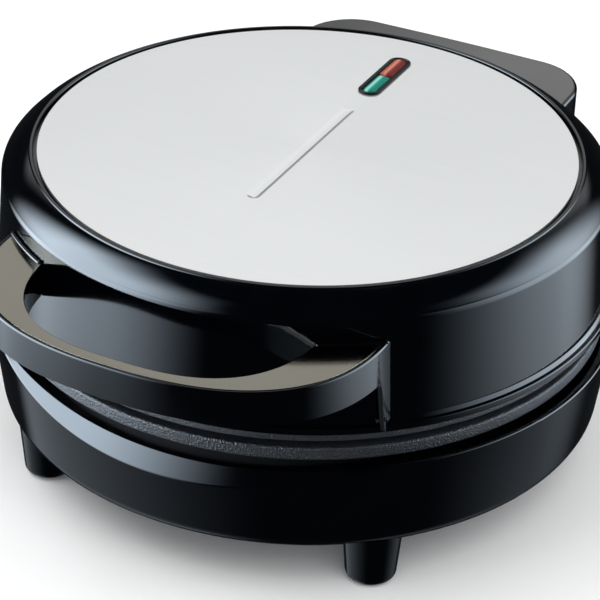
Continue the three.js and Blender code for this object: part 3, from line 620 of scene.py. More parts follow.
# ---- base ----
def scoop_height(y):
    """Height of the land: flat, and from the scoop's start on falling towards the front."""
    fall = (SCOOP_START - y) * SCOOP_SLOPE
    soft, far_back = 0.5, -20
    if fall <= far_back:
        return BASE_TOP
    return BASE_TOP - (fall + math.sqrt(fall * fall + soft * soft) - soft) / 2


def wall_radius(z):
    """Radius of the base's wall at a height."""
    flare = BASE_RIM_RADIUS - BASE_BOTTOM_RADIUS
    return BASE_BOTTOM_RADIUS + flare * (z - FOOT_HEIGHT) / (BASE_TOP - FOOT_HEIGHT)


def base_profile(angle):
    """Base shell's section at an angle: floor, wall, rim, land, mouth and the room inside."""
    s = math.sin(angle)

    def land(radius):
        return scoop_height(radius * s)

    rim = BASE_TOP
    settling_rounds = 12
    for _ in range(settling_rounds):
        rim = land(wall_radius(rim))
    rim_radius = wall_radius(rim)
    depth = BASE_TOP - rim
    brow = BASE_TOP - BROW_DROP * depth
    brow_radius = rim_radius - BROW_INSET - BROW_LEAN * depth
    mouth = brow - max(0.0, LAND_FALL - LAND_FALL_LOSS * depth)
    under = BASE_WALL * 1.08
    inner_rim = rim - under
    return rounded([
        (0, FOOT_HEIGHT), (BASE_BOTTOM_RADIUS, FOOT_HEIGHT, OUTER_ROUND), (rim_radius, rim, 0.9),
        (brow_radius, brow, 0.5), (LAND_RADIUS, mouth, 0.6), (LAND_RADIUS, mouth - under, 0.3),
        (wall_radius(inner_rim) - BASE_WALL, inner_rim, 0.5),
        (BASE_BOTTOM_RADIUS - BASE_WALL, FOOT_HEIGHT + BASE_WALL, OUTER_ROUND - BASE_WALL),
        (0, FOOT_HEIGHT + BASE_WALL),
    ])


def hinge_outline(front, bulge=0.0, steps=12):
    """Plan of the hinge block, on the lid and the base; bulge bows the back out in the middle."""
    def outline(inset):
        wide, narrow, back = HINGE_HALF - inset, HINGE_NARROW - inset, HINGE_BACK - inset
        flat = narrow - HINGE_CORNER * 2
        half_count = 4
        across = [(flat * (1 - k / half_count), back) for k in range(2 * half_count + 1)]
        plan = rounded([
            (-wide, front), (wide, front), (narrow, back, HINGE_CORNER - inset), *across,
            (-narrow, back, HINGE_CORNER - inset),
        ], steps)
        return [(x, y + bulge * (1 - (x / narrow) ** 2) if y > PIVOT_Y else y) for x, y in plan]
    return outline


def edge_levels(bottom, top, low_round, high_round, steps=5):
    """Levels of a prism whose lower and upper edges are round."""
    levels = []
    for k in range(steps + 1 if low_round else 1):
        angle = QUARTER * k / steps
        levels.append((bottom + low_round * (1 - math.cos(angle)), low_round * (1 - math.sin(angle))))
    for k in range(steps + 1 if high_round else 1):
        angle = QUARTER * k / steps
        levels.append((top - high_round * (1 - math.sin(angle)), high_round * (1 - math.cos(angle))))
    return levels


def four_places(radius, angle):
    """Front left, back left, front right and back right; the angle is from the Y axis."""
    x, y = radius * math.sin(angle), radius * math.cos(angle)
    return [(sx * x, sy * y) for sx in (-1, 1) for sy in (-1, 1)]


BASE_SCREWS = four_places(FOOT_CIRCLE, FOOT_ANGLE)
LID_SCREWS = four_places(LID_SCREW_CIRCLE, math.pi / 6)


def slot_outline(half, front, back, x=0.0, share=0.99, steps=8):
    """Plan of a slot along Y; share is how much of its half width the corners round."""
    def outline(inset):
        h = half - inset
        r = h * share
        return rounded([(x - h, front + inset, r), (x + h, front + inset, r),
                        (x + h, back - inset, r), (x - h, back - inset, r)], steps)
    return outline


def make_base_shell():
    """Shell with the finger scoop, the hinge's block and barrel, feet, vents and holes."""
    shell = turned("base_shell_fine", base_profile)
    plan = hinge_outline(BASE_BLOCK_FRONT)
    rear = prism("rear", plan, edge_levels(FOOT_HEIGHT, BASE_BLOCK_TOP, 1.2, 1.0))
    cut(rear, turned("plug", [(0, 0), *REAR_PLUG, (0, BASE_TOP)], ROUND_SIDES))
    cut(rear, prism("rear_room", plan, [(FOOT_HEIGHT + BASE_WALL, BASE_WALL),
                                        (BASE_BLOCK_TOP - BASE_WALL, BASE_WALL)]))
    join(shell, rear)
    neck = block("neck", (-BARREL_HALF, PIVOT_Y - BARREL_RADIUS, BASE_BLOCK_TOP - BASE_WALL),
                 (BARREL_HALF, PIVOT_Y + BARREL_RADIUS, PIVOT_Z))
    barrel = turned("barrel", rounded([(0, -BARREL_HALF), (BARREL_RADIUS, -BARREL_HALF, 0.5),
                                       (BARREL_RADIUS, BARREL_HALF, 0.5), (0, BARREL_HALF)]), ROUND_SIDES,
                    "x", PIVOT)
    join(shell, join(barrel, neck))
    for x, y in BASE_SCREWS:
        join(shell, turned("foot", rounded([
            (0, FOOT_END), (FOOT_END_RADIUS, FOOT_END, 2.2), (FOOT_ROOT_RADIUS, FOOT_HEIGHT + 0.4),
            (FOOT_ROOT_RADIUS, FOOT_HEIGHT + 1), (0, FOOT_HEIGHT + 1)]), FOOT_SIDES, centre=(x, y, 0)))
    pad_room, pad_seat = PAD_RADIUS + FIT, PAD_HEIGHT + FIT
    for x, y in BASE_SCREWS:
        cut(shell, turned("well", [(0, -1), (pad_room, -1), (pad_room, pad_seat), (WELL_RADIUS, pad_seat),
                                   (WELL_RADIUS, WELL_TOP), (0, WELL_TOP)], BORE_SIDES, centre=(x, y, 0)))
    for k in range(VENTS):
        x = VENT_PITCH * (k - (VENTS - 1) / 2)
        cut(shell, prism("vent", slot_outline(VENT_HALF, -VENT_REACH, VENT_REACH, x),
                         [(FOOT_HEIGHT - 1, 0), (FOOT_HEIGHT + 4, 0)]))
    cut(shell, cylinder("gland_hole", GLAND_HOLE, HINGE_BACK - 5, HINGE_BACK + 3, BORE_SIDES, "y",
                        (0, 0, GLAND_HEIGHT)))
    for side in (-1, 1):
        low, high = sorted((side * (BARREL_HALF - PIN_SEAT - FIT), side * (BARREL_HALF + OVERRUN)))
        cut(shell, cylinder("pin_hole", PIN_HOLE, low, high, BORE_SIDES, "x", PIVOT))
    return finish_piece(shade(shell, weighted=True), "base", "gloss_black", BLACK, "base_shell")


# ---- mould plates ----
def ring_section(steps=28):
    """Section of one half of a ring mould, with a rounded lip at its hub and its outer edge."""
    middle, half = (MOULD_HUB + MOULD_OUTER) / 2, (MOULD_OUTER - MOULD_HUB) / 2
    arc = []
    for k in range(steps + 1):
        angle = math.pi * k / steps
        arc.append((middle - half * math.cos(angle), -MOULD_DEPTH * math.sin(angle)))
    lip = [(MOULD_LIP, MOULD_LIP * 0.5), (MOULD_LIP * 0.55, 0.05), (MOULD_LIP * 0.2, -0.22)]
    return [
        *[(MOULD_HUB - out, z) for out, z in lip],
        *[(r, z) for r, z in arc if z < -MOULD_LIP_DEPTH],
        *[(MOULD_OUTER + out, z) for out, z in reversed(lip)],
    ]


def make_plate(name, rim_height, parting, upside_down, screws, body):
    """One mould plate, made with its parting face up at height 0."""
    floor = -MOULD_DEPTH - MOULD_WALL
    plate = turned(name, rounded([
        (0, -PLATE_SHEET), (PLATE_BODY - SKIRT_WALL, -PLATE_SHEET, 1.5),
        (PLATE_BODY - SKIRT_WALL, -SKIRT_DEPTH, 0.4), (PLATE_BODY, -SKIRT_DEPTH, 0.4),
        (PLATE_BODY, -rim_height, 0.6), (PLATE_RADIUS, -rim_height, 0.7), (PLATE_RADIUS, 0, 0.9), (0, 0),
    ], 5))
    places = [(0.0, 0.0)] + [
        (MOULD_PITCH * math.cos(TAU * k / 6 - QUARTER), MOULD_PITCH * math.sin(TAU * k / 6 - QUARTER))
        for k in range(6)]
    for x, y in places:
        join(plate, turned("cup", rounded([(0, floor), (CUP_FLOOR, floor, 2), (CUP_ROOT, -PLATE_SHEET / 2),
                                           (0, -PLATE_SHEET / 2)], 4), FOOT_SIDES, centre=(x, y, 0)))
    for x, y in screws:
        join(plate, cylinder("boss", BOSS_RADIUS, -BOSS_END, -BOSS_START, POST_SIDES, centre=(x, y, 0)))
        cut(plate, cylinder("screw_hole", SCREW_HOLE, -SCREW_HOLE_START, -SCREW_HOLE_END, HOLE_SIDES,
                            centre=(x, y, 0)))
    section = ring_section()
    for x, y in places:
        cut(plate, turned("channel", section, MOULD_SIDES, centre=(x, y, 0)))
    # The skirt faces are painted near black as painted shade; the rest keeps the coating.
    plate.data.materials.clear()
    plate.data.materials.append(COATED)
    plate.data.materials.append(PLATE_SKIRT_PAINTED_SHADE)
    for face in plate.data.polygons:
        x, y, z = face.center / MM
        on_skirt = z < -rim_height - 0.3 and math.hypot(x, y - SHIFT_Y) > PLATE_BODY - SKIRT_WALL - 0.5
        face.material_index = 1 if on_skirt else 0
    turn = Matrix.Rotation(math.pi, 4, "Y") if upside_down else Matrix.Identity(4)
    plate.data.transform(Matrix.Translation((0, 0, parting * MM)) @ turn)
    return finish_piece(shade(plate, weighted=True), body, "coated_plate", COATED,
                        "upper_plate" if upside_down else "lower_plate")


# ---- lid ----
def lid_outside():
    """Outer side of the lid: lip, the groove behind it, wall, shoulder and the bead round the panel."""
    wall_foot = (LID_FOOT, LID_FOOT_HEIGHT)
    wall_top = (LID_SHOULDER, LID_SHOULDER_HEIGHT)
    slope_top = (BEAD_OUTER, LID_SHOULDER_HEIGHT + LID_SLOPE_RISE)
    return [
        *rounded([(LID_EDGE - LID_WALL, LID_BOTTOM), (LID_EDGE, LID_BOTTOM, 0.35),
                  (LID_EDGE, LID_LIP_TOP, 0.45), (LID_FOOT + 0.85, LID_LIP_TOP - 0.45, 0.3),
                  (*wall_foot, 0.35), wall_top], 5)[1:-1],
        *rounded([wall_foot, (*wall_top, 2.6), slope_top], 12)[1:-1],
        *bowed((LID_SHOULDER - 1.6, LID_SHOULDER_HEIGHT + 1.35), slope_top, 0.55, 14),
        *rounded([wall_top, (*slope_top, 0.3), (BEAD_OUTER - 0.4, BEAD_TOP, 0.5),
                  (BEAD_INNER + 0.3, BEAD_TOP, 0.5), (BEAD_INNER, DECK_TOP)], 5)[1:],
    ]


def hinge_block():
    """Block at the lid's back with its two cheeks, hollow and open under the barrel's sweep."""
    low, front, cheek_steps = 30, 50, 24
    plan = hinge_outline(LID_BLOCK_FRONT, HINGE_BULGE)
    hinge = prism("hinge_block", plan, edge_levels(low, HANDLE_TOP, 0, 1.4))
    arc = []
    for k in range(cheek_steps + 1):
        angle = math.pi + math.pi * k / cheek_steps
        arc.append((PIVOT_Y + CHEEK_RADIUS * math.cos(angle), PIVOT_Z + CHEEK_RADIUS * math.sin(angle)))
    back = HINGE_BACK + HINGE_BULGE + 1
    ledge = LID_BOTTOM + 1.35
    side = [*arc, (HINGE_BACK + HINGE_BULGE, PIVOT_Z + CHEEK_RADIUS), (back, PIVOT_Z + CHEEK_RADIUS + 1),
            (back, HANDLE_TOP + 1), (front, HANDLE_TOP + 1), (front, ledge), (PIVOT_Y - CHEEK_RADIUS, ledge)]
    keep(hinge, side_prism("cheek_side", side, -FAR, FAR))
    swept = BARREL_SWEEP + (CHEEK_RADIUS + HINGE_BULGE) * math.sin(OVER_CENTRE)
    window_top = PIVOT_Z + swept / math.cos(OVER_CENTRE)
    ceiling = HANDLE_TOP - HINGE_WALL
    cut(hinge, block("barrel_room", (-CHEEK_INNER, front, low), (CHEEK_INNER, back + OVERRUN, window_top)))
    cut(hinge, block("middle_room", (-CHEEK_INNER, front, PIVOT_Z),
                     (CHEEK_INNER, HINGE_BACK - HINGE_WALL, ceiling)))
    cut(hinge, prism("core_room", hinge_outline(front), [(PIVOT_Z + CHEEK_RADIUS, HINGE_WALL),
                                                         (ceiling, HINGE_WALL)]))
    return bevel(hinge, 0.5)


def make_lid_shell():
    """Lid with its hinge block, screw posts and lamp slot; the block's top has the satin finish."""
    shell = turned("lid_shell_fine", [(0, LID_BOTTOM), *lid_outside(), (0, DECK_TOP)])
    join(shell, hinge_block())
    cut(shell, turned("lid_room", [
        (0, LID_BOTTOM - OVERRUN), (LID_EDGE - LID_WALL, LID_BOTTOM - OVERRUN),
        (LID_EDGE - LID_WALL, LID_BOTTOM + 1.2), (LID_FOOT - LID_WALL, LID_LIP_TOP),
        (LID_SHOULDER - LID_WALL, LID_SHOULDER_HEIGHT - 2.6),
        (BEAD_INNER - LID_WALL, DECK_TOP - LID_WALL), (0, DECK_TOP - LID_WALL)]))
    cut(shell, cylinder("barrel_sweep", BARREL_SWEEP, -CHEEK_INNER, CHEEK_INNER, ROUND_SIDES, "x", PIVOT))
    for x, y in LID_SCREWS:
        join(shell, cylinder("boss", POST_RADIUS, POST_END, POST_TOP, POST_SIDES, centre=(x, y, 0)))
        cut(shell, cylinder("well", WELL_RADIUS, POST_WELL, ABOVE, POST_SIDES, centre=(x, y, 0)))
    cut(shell, cylinder("pin_hole", PIN_HOLE, -FAR, FAR, BORE_SIDES, "x", PIVOT))
    cut(shell, prism("lamp_hole", slot_outline(*LAMP_SLOT), [(105, 0), (ABOVE, 0)]))
    shade(shell, weighted=True)
    shell.data.materials.clear()
    shell.data.materials.append(BLACK)
    shell.data.materials.append(SATIN)
    near, upright = 0.05, 0.99
    for face in shell.data.polygons:
        level = abs(face.center.z / MM - HANDLE_TOP) < near and face.normal.z > upright
        face.material_index = 1 if level and face.center.y > 0 else 0
    return finish_piece(shell, "lid", "gloss_black", BLACK, "lid_shell")


def make_panel():
    """Steel disc with a shallow groove and the slot for the lamps."""
    panel = turned("lid_panel_fine", rounded([
        (0, PANEL_TOP - PANEL_THICKNESS), (PANEL_RADIUS, PANEL_TOP - PANEL_THICKNESS, 0.3),
        (PANEL_RADIUS, PANEL_TOP, 0.15), (0, PANEL_TOP)], 6))
    cut(panel, prism("groove", slot_outline(*GROOVE), [
        (PANEL_TOP - 0.5, 1.6), (PANEL_TOP - 0.46, 1.4), (PANEL_TOP - 0.05, 0.15), (PANEL_TOP + 0.02, 0.0),
        (PANEL_TOP + 1, 0.0)]))
    cut(panel, prism("lamp_slot", slot_outline(*LAMP_SLOT), [(110, 0), (118, 0)]))
    return finish_piece(shade(panel, 40, True), "lid", "brushed_steel", STEEL, "lid_panel")


def lens_outline(front, back, front_round, back_round):
    """Plan of one lens."""
    def outline(inset, least=0.15):
        h = LENS_HALF - inset
        a, b = max(front_round - inset, least), max(back_round - inset, least)
        return rounded([(-h, front + inset, a), (h, front + inset, a), (h, back - inset, b),
                        (-h, back - inset, b)], 8)
    return outline


def make_lamps():
    """The bezel with its fine groove, and the two domed lenses."""
    seat = PANEL_TOP + FIT
    skirt = PANEL_TOP - 5
    section = [(0.0, seat), (0.0, seat + 0.2), (0.08, seat + 0.34), (0.22, seat + 0.4), (0.5, seat + 0.4),
               (0.62, seat + 0.22), (0.78, seat + 0.22), (0.88, seat + 0.4), (1.14, seat + 0.4),
               (1.26, seat + 0.34), (1.3, seat + 0.2), (1.3, skirt), (0.7, skirt), (0.7, seat)]
    outline = slot_outline(*BEZEL, share=0.92, steps=10)
    rings = zip(*[[(x, y, z) for x, y in outline(inset)] for inset, z in section])
    bezel = loft("lamp_bezel_fine", [list(ring) for ring in rings], wrap=True)
    finish_piece(shade(bezel, 50), "lid", "gloss_black", TRIM, "lamp_bezel")
    top = seat + LENS_RISE
    steps = 8
    levels = [(top - LENS_DEPTH, 0)]
    for k in range(steps + 1):
        angle = QUARTER * k / steps
        levels.append((top - LENS_RISE + LENS_RISE * math.sin(angle), LENS_EDGE * (1 - math.cos(angle))))
    for colour, material in (("green", GREEN), ("red", RED)):
        lens_piece = prism(f"lamp_lens_{colour}_fine", lens_outline(*LENSES[colour]), levels)
        finish_piece(shade(lens_piece, 60, True), "lid", f"lens_{colour}", material, f"lamp_lens_{colour}")


# ---- handle ----
def front_curve(half, reach, power, steps=120):
    """Front half of a superellipse, from the left to the right."""
    out = []
    for k in range(steps + 1):
        angle = math.pi + math.pi * k / steps
        c, s = math.cos(angle), math.sin(angle)
        x = math.copysign(half * abs(c) ** (2 / power), c)
        out.append((x, HANDLE_CENTRE - reach * abs(s) ** (2 / power)))
    return out


def handle_edge(inset, z):
    """Outer edge at a height: it flares out sideways from the handle's top to the tips of the legs."""
    flare = HANDLE_FLARE * (HANDLE_TOP - z) / (HANDLE_TOP - LEG_TIP)
    return front_curve(HANDLE_HALF + flare - inset, HANDLE_REACH - inset, HANDLE_POWER)


def loop_edge(inset, _height):
    """Edge of the finger loop, the same at every height."""
    return front_curve(LOOP_HALF + inset, LOOP_REACH + inset, LOOP_POWER)


def u_rings(section, root=HANDLE_CENTRE + 6):
    """Rings of a U-shaped solid; its section is rows of edge, inset and height."""
    curves = []
    for edge, inset, z in section:
        curve = edge(inset, z)
        curve = [(curve[0][0], root), *curve, (curve[-1][0], root)]
        curves.append([(x, y, z) for x, y in curve])
    return [list(ring) for ring in zip(*curves)]


def lid_plug(gap, bottom=LID_BOTTOM):
    """Room that the lid takes, with a plain side down to below its lip."""
    side = [(r + gap, h) for r, h in lid_outside() if h >= LID_FOOT_HEIGHT]
    reach, low = LID_EDGE + gap, bottom - OVERRUN
    return turned("lid_plug", [(0, low), (reach, low), (reach, LID_FOOT_HEIGHT), *side, (0, BEAD_TOP + 2)])


def wall_at(z):
    """Radius of the lid's wall at a height."""
    share = (z - LID_FOOT_HEIGHT) / (LID_SHOULDER_HEIGHT - LID_FOOT_HEIGHT)
    return LID_FOOT + (LID_SHOULDER - LID_FOOT) * share


def tube(name, path, radius, sides=14):
    """Round bead along a path, with domed ends."""
    points = [Vector(p) for p in path]
    rings = []
    for i, p in enumerate(points):
        way = (points[min(i + 1, len(points) - 1)] - points[max(i - 1, 0)]).normalized()
        across = way.cross(Vector((0, 0, 1)) if abs(way.z) < 0.8 else Vector((0, 1, 0))).normalized()
        other = way.cross(across)
        turns = [0.0]
        if i in (0, len(points) - 1):
            turns = [QUARTER * k / 4 for k in range(5)]
            turns = turns[::-1] if i == 0 else turns
        for turn in turns:
            size = radius * max(math.cos(turn), 0.03)
            middle = p + way * radius * math.sin(turn) * (-1 if i == 0 else 1)
            rings.append([tuple(middle + size * (across * math.cos(a) + other * math.sin(a)))
                          for a in (TAU * k / sides for k in range(sides))])
    return loft(name, rings)


def root_beads():
    """The rounded edge of each root, along the lid's wall over the arm."""
    beads = []
    steps, margin, stand_off, sink = 24, 0.6, 0.75, 0.1
    reach = wall_at(HANDLE_TOP) + stand_off
    for sign in (-1, 1):
        path = []
        for k in range(steps + 1):
            x = LOOP_HALF + margin + (HANDLE_HALF - LOOP_HALF - 2 * margin) * k / steps
            path.append((sign * x, -math.sqrt(reach ** 2 - x * x), HANDLE_TOP - sink))
        beads.append(tube("root_bead", path, BEAD_RADIUS))
    return beads


def make_handle():
    """The loop with a leg at each root, hollow underneath, and the cover plate on it."""
    outer, loop, top = handle_edge, loop_edge, HANDLE_TOP
    body = loft("handle_fine", u_rings([
        (outer, 0, LEG_TIP), (outer, 0, top - 0.7), (outer, 0.1, top - 0.3), (outer, 0.3, top - 0.1),
        (outer, 0.55, top), (outer, 0.85, top - 0.05), (outer, 1.0, top - 0.25), (outer, 1.0, COVER_SEAT),
        (loop, 0, COVER_SEAT), (loop, 0, LEG_TIP),
    ]))
    tip_y = -math.sqrt(LID_EDGE ** 2 - (HANDLE_HALF + HANDLE_FLARE) ** 2) - FIT
    root, foremost = HANDLE_CENTRE + 8, HANDLE_CENTRE - 24
    side = rounded([
        (root, LEG_TIP), (tip_y - 1.2, LEG_TIP, 2.2), (tip_y - 2.6, HANDLE_BOTTOM, 3.2),
        (foremost, HANDLE_BOTTOM), (foremost, COVER_SEAT), (root, COVER_SEAT)], 10)
    legs = side_prism("legs", side, -FAR, FAR)
    cut(legs, loft("inside", u_rings([
        (outer, LEG_WALL, LEG_TIP - 1), (outer, LEG_WALL, top + 1),
        (loop, -OVERRUN, top + 1), (loop, -OVERRUN, LEG_TIP - 1)])))
    join(legs, block("skirt", (-FAR, HANDLE_CENTRE - HANDLE_REACH - 2, HANDLE_BOTTOM), (FAR, 0, top + 1)))
    keep(body, legs)
    bevel(body, 0.35)
    under, ceiling = HANDLE_BOTTOM - 2, COVER_SEAT - HANDLE_WALL
    pocket = loft("pocket", u_rings([
        (outer, HANDLE_WALL, under), (outer, HANDLE_WALL, ceiling),
        (loop, HANDLE_WALL, ceiling), (loop, HANDLE_WALL, under)]))
    keep(pocket, block("pocket_reach", (-FAR, HANDLE_CENTRE - 36, 60), (FAR, 0, ABOVE)))
    cut(pocket, lid_plug(HANDLE_WALL + FIT))
    cut(body, pocket)
    cut(body, lid_plug(FIT, LEG_TIP))
    join(body, *root_beads())
    finish_piece(shade(body, weighted=True), "lid", "gloss_black", BLACK, "handle")
    cover_low = top - 2
    cover = loft("handle_cover_fine", u_rings([
        (outer, 1.3, cover_low), (outer, 1.3, top - 0.3), (outer, 1.4, top - 0.1), (outer, 1.6, top),
        (loop, 0.7, top), (loop, 0.25, top - 0.1), (loop, 0.05, top - 0.35), (loop, 0.0, top - 0.7),
        (loop, 0.0, cover_low)]))
    cut(cover, lid_plug(FIT))
    finish_piece(shade(cover, weighted=True), "lid", "satin_grey", SATIN, "handle_cover")


def make_small_pieces():
    """Foot pads, hinge pins and the cord's gland."""
    for (x, y), place in zip(BASE_SCREWS, ("front_left", "rear_left", "front_right", "rear_right")):
        pad = turned(f"foot_pad_{place}_fine", rounded([
            (0, 0), (PAD_RADIUS, 0, 0.8), (PAD_RADIUS, PAD_HEIGHT, 0.3), (0, PAD_HEIGHT)]),
            BORE_SIDES, centre=(x, y, 0))
        finish_piece(shade(pad), "base", "black_rubber", RUBBER, f"foot_pad_{place}")
    for name, side in (("left", -1), ("right", 1)):
        low, high = sorted((side * (BARREL_HALF - PIN_SEAT), side * PIN_END))
        pin = turned(f"hinge_pin_{name}_fine", rounded([
            (0, low), (PIN_RADIUS, low, 0.4), (PIN_RADIUS, high, 0.4), (0, high)]),
            BORE_SIDES, "x", PIVOT)
        finish_piece(shade(pin), "lid", "bare_steel", BARE, f"hinge_pin_{name}")
    inner_end, lip = HINGE_BACK - 4.5, HINGE_BACK + FIT
    gland = turned("cord_gland_fine", rounded([
        (GLAND_BORE, inner_end, 0.3), (GLAND_BARREL, inner_end, 0.3), (GLAND_BARREL, lip),
        (GLAND_LIP, lip, 0.3), (GLAND_LIP, lip + 2, 0.9), (GLAND_BORE, lip + 2, 0.6)]),
        FOOT_SIDES, "y", (0, 0, GLAND_HEIGHT))
    finish_piece(shade(gland), "base", "black_rubber", RUBBER, "cord_gland")


make_base_shell()
make_plate("lower_plate_fine", LOWER_RIM, LOWER_PARTING, False, BASE_SCREWS, "base")
make_plate("upper_plate_fine", UPPER_RIM, UPPER_PARTING, True, LID_SCREWS, "lid")
make_lid_shell()
make_panel()
make_lamps()
make_handle()
make_small_pieces()

# The CAD nodes that still show take the finish of their slots
slots = {row["node"]: row["material_slot"] for row in frame["record"]["subparts"]}
for node, obj in frame["nodes"].items():
    obj.data.materials.clear()
    obj.data.materials.append(SLOT_MATERIAL[slots[node]])

# ---- camera ----
CAMERA_PLACE = (0.3410, -0.70125, 0.5281)
CAMERA_RIGHT = Vector((0.8930, 0.4489, 0.0314))
CAMERA_BACK = Vector((0.3685, -0.7696, 0.5215))
FOCAL_LENGTH = 151.8
FRAME_SHIFT = (-0.0219, 0.0066)

scene = bpy.context.scene
camera = bpy.data.objects.new("camera", bpy.data.cameras.new("camera"))
scene.collection.objects.link(camera)
scene.camera = camera
camera.data.sensor_width = 36
camera.data.lens = FOCAL_LENGTH
camera.data.shift_x, camera.data.shift_y = FRAME_SHIFT
camera.data.clip_start = 0.05
camera.data.clip_end = 50
right = CAMERA_RIGHT - CAMERA_BACK * CAMERA_RIGHT.dot(CAMERA_BACK) / CAMERA_BACK.length_squared
right.normalize()
back = CAMERA_BACK.normalized()
axes = Matrix((right, back.cross(right), back)).transposed().to_4x4()
camera.matrix_world = Matrix.Translation(CAMERA_PLACE) @ axes

# ---- stage ----
FLOOR_HALF = 20.0
AIM = (0, 0, 0.06)
LAMPS = (           # name, place, side, power
    ("key", (-0.9, -0.7, 1.7), 1.4, 16),
    ("fill", (1.0, -0.7, 1.5), 1.2, 11),
)
# Graded patches of the mirrored studio, in degrees: middle azimuth, then the azimuths from the middle and the
# elevations where the patch starts, is full, starts to fade and ends, and its radiance
BACK_CARD = (118, (-50, -38, 28, 42), (18, 25, 66, 78), 1.0)
SOFTBOXES = (
    (-145, (-50, -24, 5, 48), (-42, 8, 38, 66), 18.0),
    (30, (-52, 1, 15, 45), (-43, 8, 27, 51), 9.8),
    (-145, (-58, -46, -20, 70), (-88, -70, -38, -28), 0.65),
    (30, (-40, 10, 20, 50), (-88, -70, -38, -28), 0.3),
)
FRONT_ROOM = (-30, (-125, -95, 85, 105), (-90, -88, 88, 90), 0.5)


def make_floor():
    """Plain pale floor."""
    floor = bpy.data.objects.new("floor", bpy.data.meshes.new("floor"))
    corners = [(x * FLOOR_HALF, y * FLOOR_HALF, 0) for x, y in ((-1, -1), (1, -1), (1, 1), (-1, 1))]
    floor.data.from_pydata(corners, [], [(0, 1, 2, 3)])
    scene.collection.objects.link(floor)
    n = Nodes("floor")
    n.set(Base_Color=(0.92, 0.92, 0.92, 1), Roughness=0.9, Specular_IOR_Level=0.1)
    floor.data.materials.append(n.material)
    floor.visible_glossy = False


def make_world(plain=0.8, seen=1.0):
    """White where it is seen, directly or in a mirror or glass, and a little weaker as a light."""
    world = bpy.data.worlds.new("studio")
    world.use_nodes = True
    scene.world = world
    nodes, links = world.node_tree.nodes, world.node_tree.links
    background = nodes["Background"]
    background.inputs["Color"].default_value = (1, 1, 1, 1)
    path = nodes.new("ShaderNodeLightPath")
    total = path.outputs["Is Camera Ray"]
    for kind in ("Is Glossy Ray", "Is Transmission Ray"):
        add = nodes.new("ShaderNodeMath")
        add.operation = "ADD"
        add.use_clamp = True
        links.new(total, add.inputs[0])
        links.new(path.outputs[kind], add.inputs[1])
        total = add.outputs[0]
    strength = nodes.new("ShaderNodeMapRange")
    strength.inputs["To Min"].default_value = plain
    strength.inputs["To Max"].default_value = seen
    links.new(total, strength.inputs["Value"])
    links.new(strength.outputs["Result"], background.inputs["Strength"])


def make_lamp(name, place, side, power):
    """Square area lamp that isn't mirrored; the domes hold what is."""
    data = bpy.data.lights.new(name, "AREA")
    data.shape = "RECTANGLE"
    data.size = data.size_y = side
    data.energy = power
    lamp = bpy.data.objects.new(name, data)
    lamp.location = place
    lamp.rotation_euler = (Vector(AIM) - Vector(place)).to_track_quat("-Z", "Y").to_euler()
    lamp.visible_glossy = False
    scene.collection.objects.link(lamp)


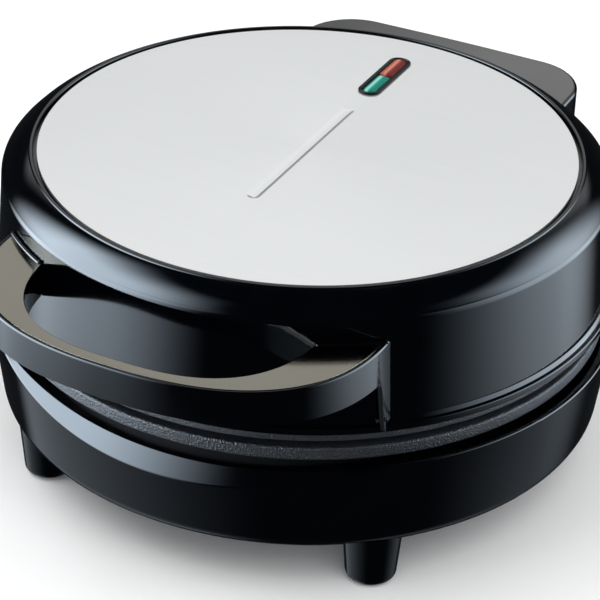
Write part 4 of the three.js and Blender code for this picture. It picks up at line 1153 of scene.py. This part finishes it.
class Dome:
    """Large shell round the scene that is seen only in reflections, and glows by direction."""

    def __init__(self, name, radius, piece, state, sides=64, step=8):
        """It lights the piece alone where the state is INCLUDE, and all but the piece where it is EXCLUDE."""
        rings = []
        for degrees in range(-88, 89, step):
            e = math.radians(degrees)
            rings.append([(radius / MM * math.cos(TAU * k / sides) * math.cos(e),
                           radius / MM * math.sin(TAU * k / sides) * math.cos(e),
                           radius / MM * math.sin(e)) for k in range(sides)])
        shell = loft(name, rings)
        shell.visible_camera = shell.visible_diffuse = False
        shell.visible_shadow = shell.visible_transmission = False
        group = bpy.data.collections.new(name + "_link")
        group.objects.link(bpy.data.objects[piece])
        group.collection_objects[0].light_linking.link_state = state
        shell.light_linking.receiver_collection = group
        self.nodes = n = Nodes(name)
        n.material.cycles.emission_sampling = "NONE"
        shell.data.materials.append(n.material)
        self.direction = n.add("ShaderNodeVectorMath", {0: n.add("ShaderNodeNewGeometry").outputs["Position"]},
                               operation="NORMALIZE").outputs["Vector"]
        height = n.add("ShaderNodeSeparateXYZ", {"Vector": self.direction}).outputs["Z"]
        self.elevation = n.math("ARCSINE", height)

    def patch(self, middle, azimuths, elevations, radiance):
        """Softly edged patch: it fades in between the first two angles and out between the last two."""
        n = self.nodes
        from_middle = n.add("ShaderNodeVectorRotate", {
            "Vector": self.direction, "Angle": math.radians(-middle),
        }, rotation_type="Z_AXIS").outputs["Vector"]
        axes = n.add("ShaderNodeSeparateXYZ", {"Vector": from_middle}).outputs
        azimuth = n.math("ARCTAN2", axes["Y"], axes["X"])
        factor = radiance
        for angle, (start, full, fade, end) in ((azimuth, azimuths), (self.elevation, elevations)):
            factor = n.math("MULTIPLY", n.ramp(angle, start, full), factor)
            factor = n.math("MULTIPLY", n.ramp(angle, end, fade), factor)
        return factor


def make_studio_dome(level=0.02):
    """What the gloss mirrors: graded softboxes left and right, a white card behind, and near black between."""
    dome = Dome("studio_dome", 6.0, "lid_panel_fine", "EXCLUDE")
    n = dome.nodes
    card = dome.patch(*BACK_CARD)
    light = n.math("ADD", card, level)
    for row in SOFTBOXES:
        light = n.math("ADD", light, dome.patch(*row))
    tint = n.blend(card, (0.79, 0.90, 1.0, 1), (1.0, 1.0, 1.0, 1))
    n.set(Base_Color=(0.0, 0.0, 0.0, 1), Specular_IOR_Level=0.0, Emission_Color=tint, Emission_Strength=light)


def make_panel_dome(level=1.03):
    """What the steel disc mirrors: the same card, and gentle light in front of it."""
    dome = Dome("panel_dome", 5.8, "lid_panel_fine", "INCLUDE")
    n = dome.nodes
    light = n.math("MULTIPLY", n.math("ADD", dome.patch(*BACK_CARD), dome.patch(*FRONT_ROOM)), level)
    glow = n.add("ShaderNodeEmission", {"Color": (0.985, 0.995, 1.0, 1), "Strength": light})
    clear = n.add("ShaderNodeBsdfTransparent")
    both = n.add("ShaderNodeAddShader", {0: glow.outputs[0], 1: clear.outputs[0]})
    n.put(n.tree.nodes["Material Output"].inputs["Surface"], both.outputs[0])


make_floor()
make_world()
for lamp_row in LAMPS:
    make_lamp(*lamp_row)
make_studio_dome()
make_panel_dome()

scene.view_settings.view_transform = "Standard"
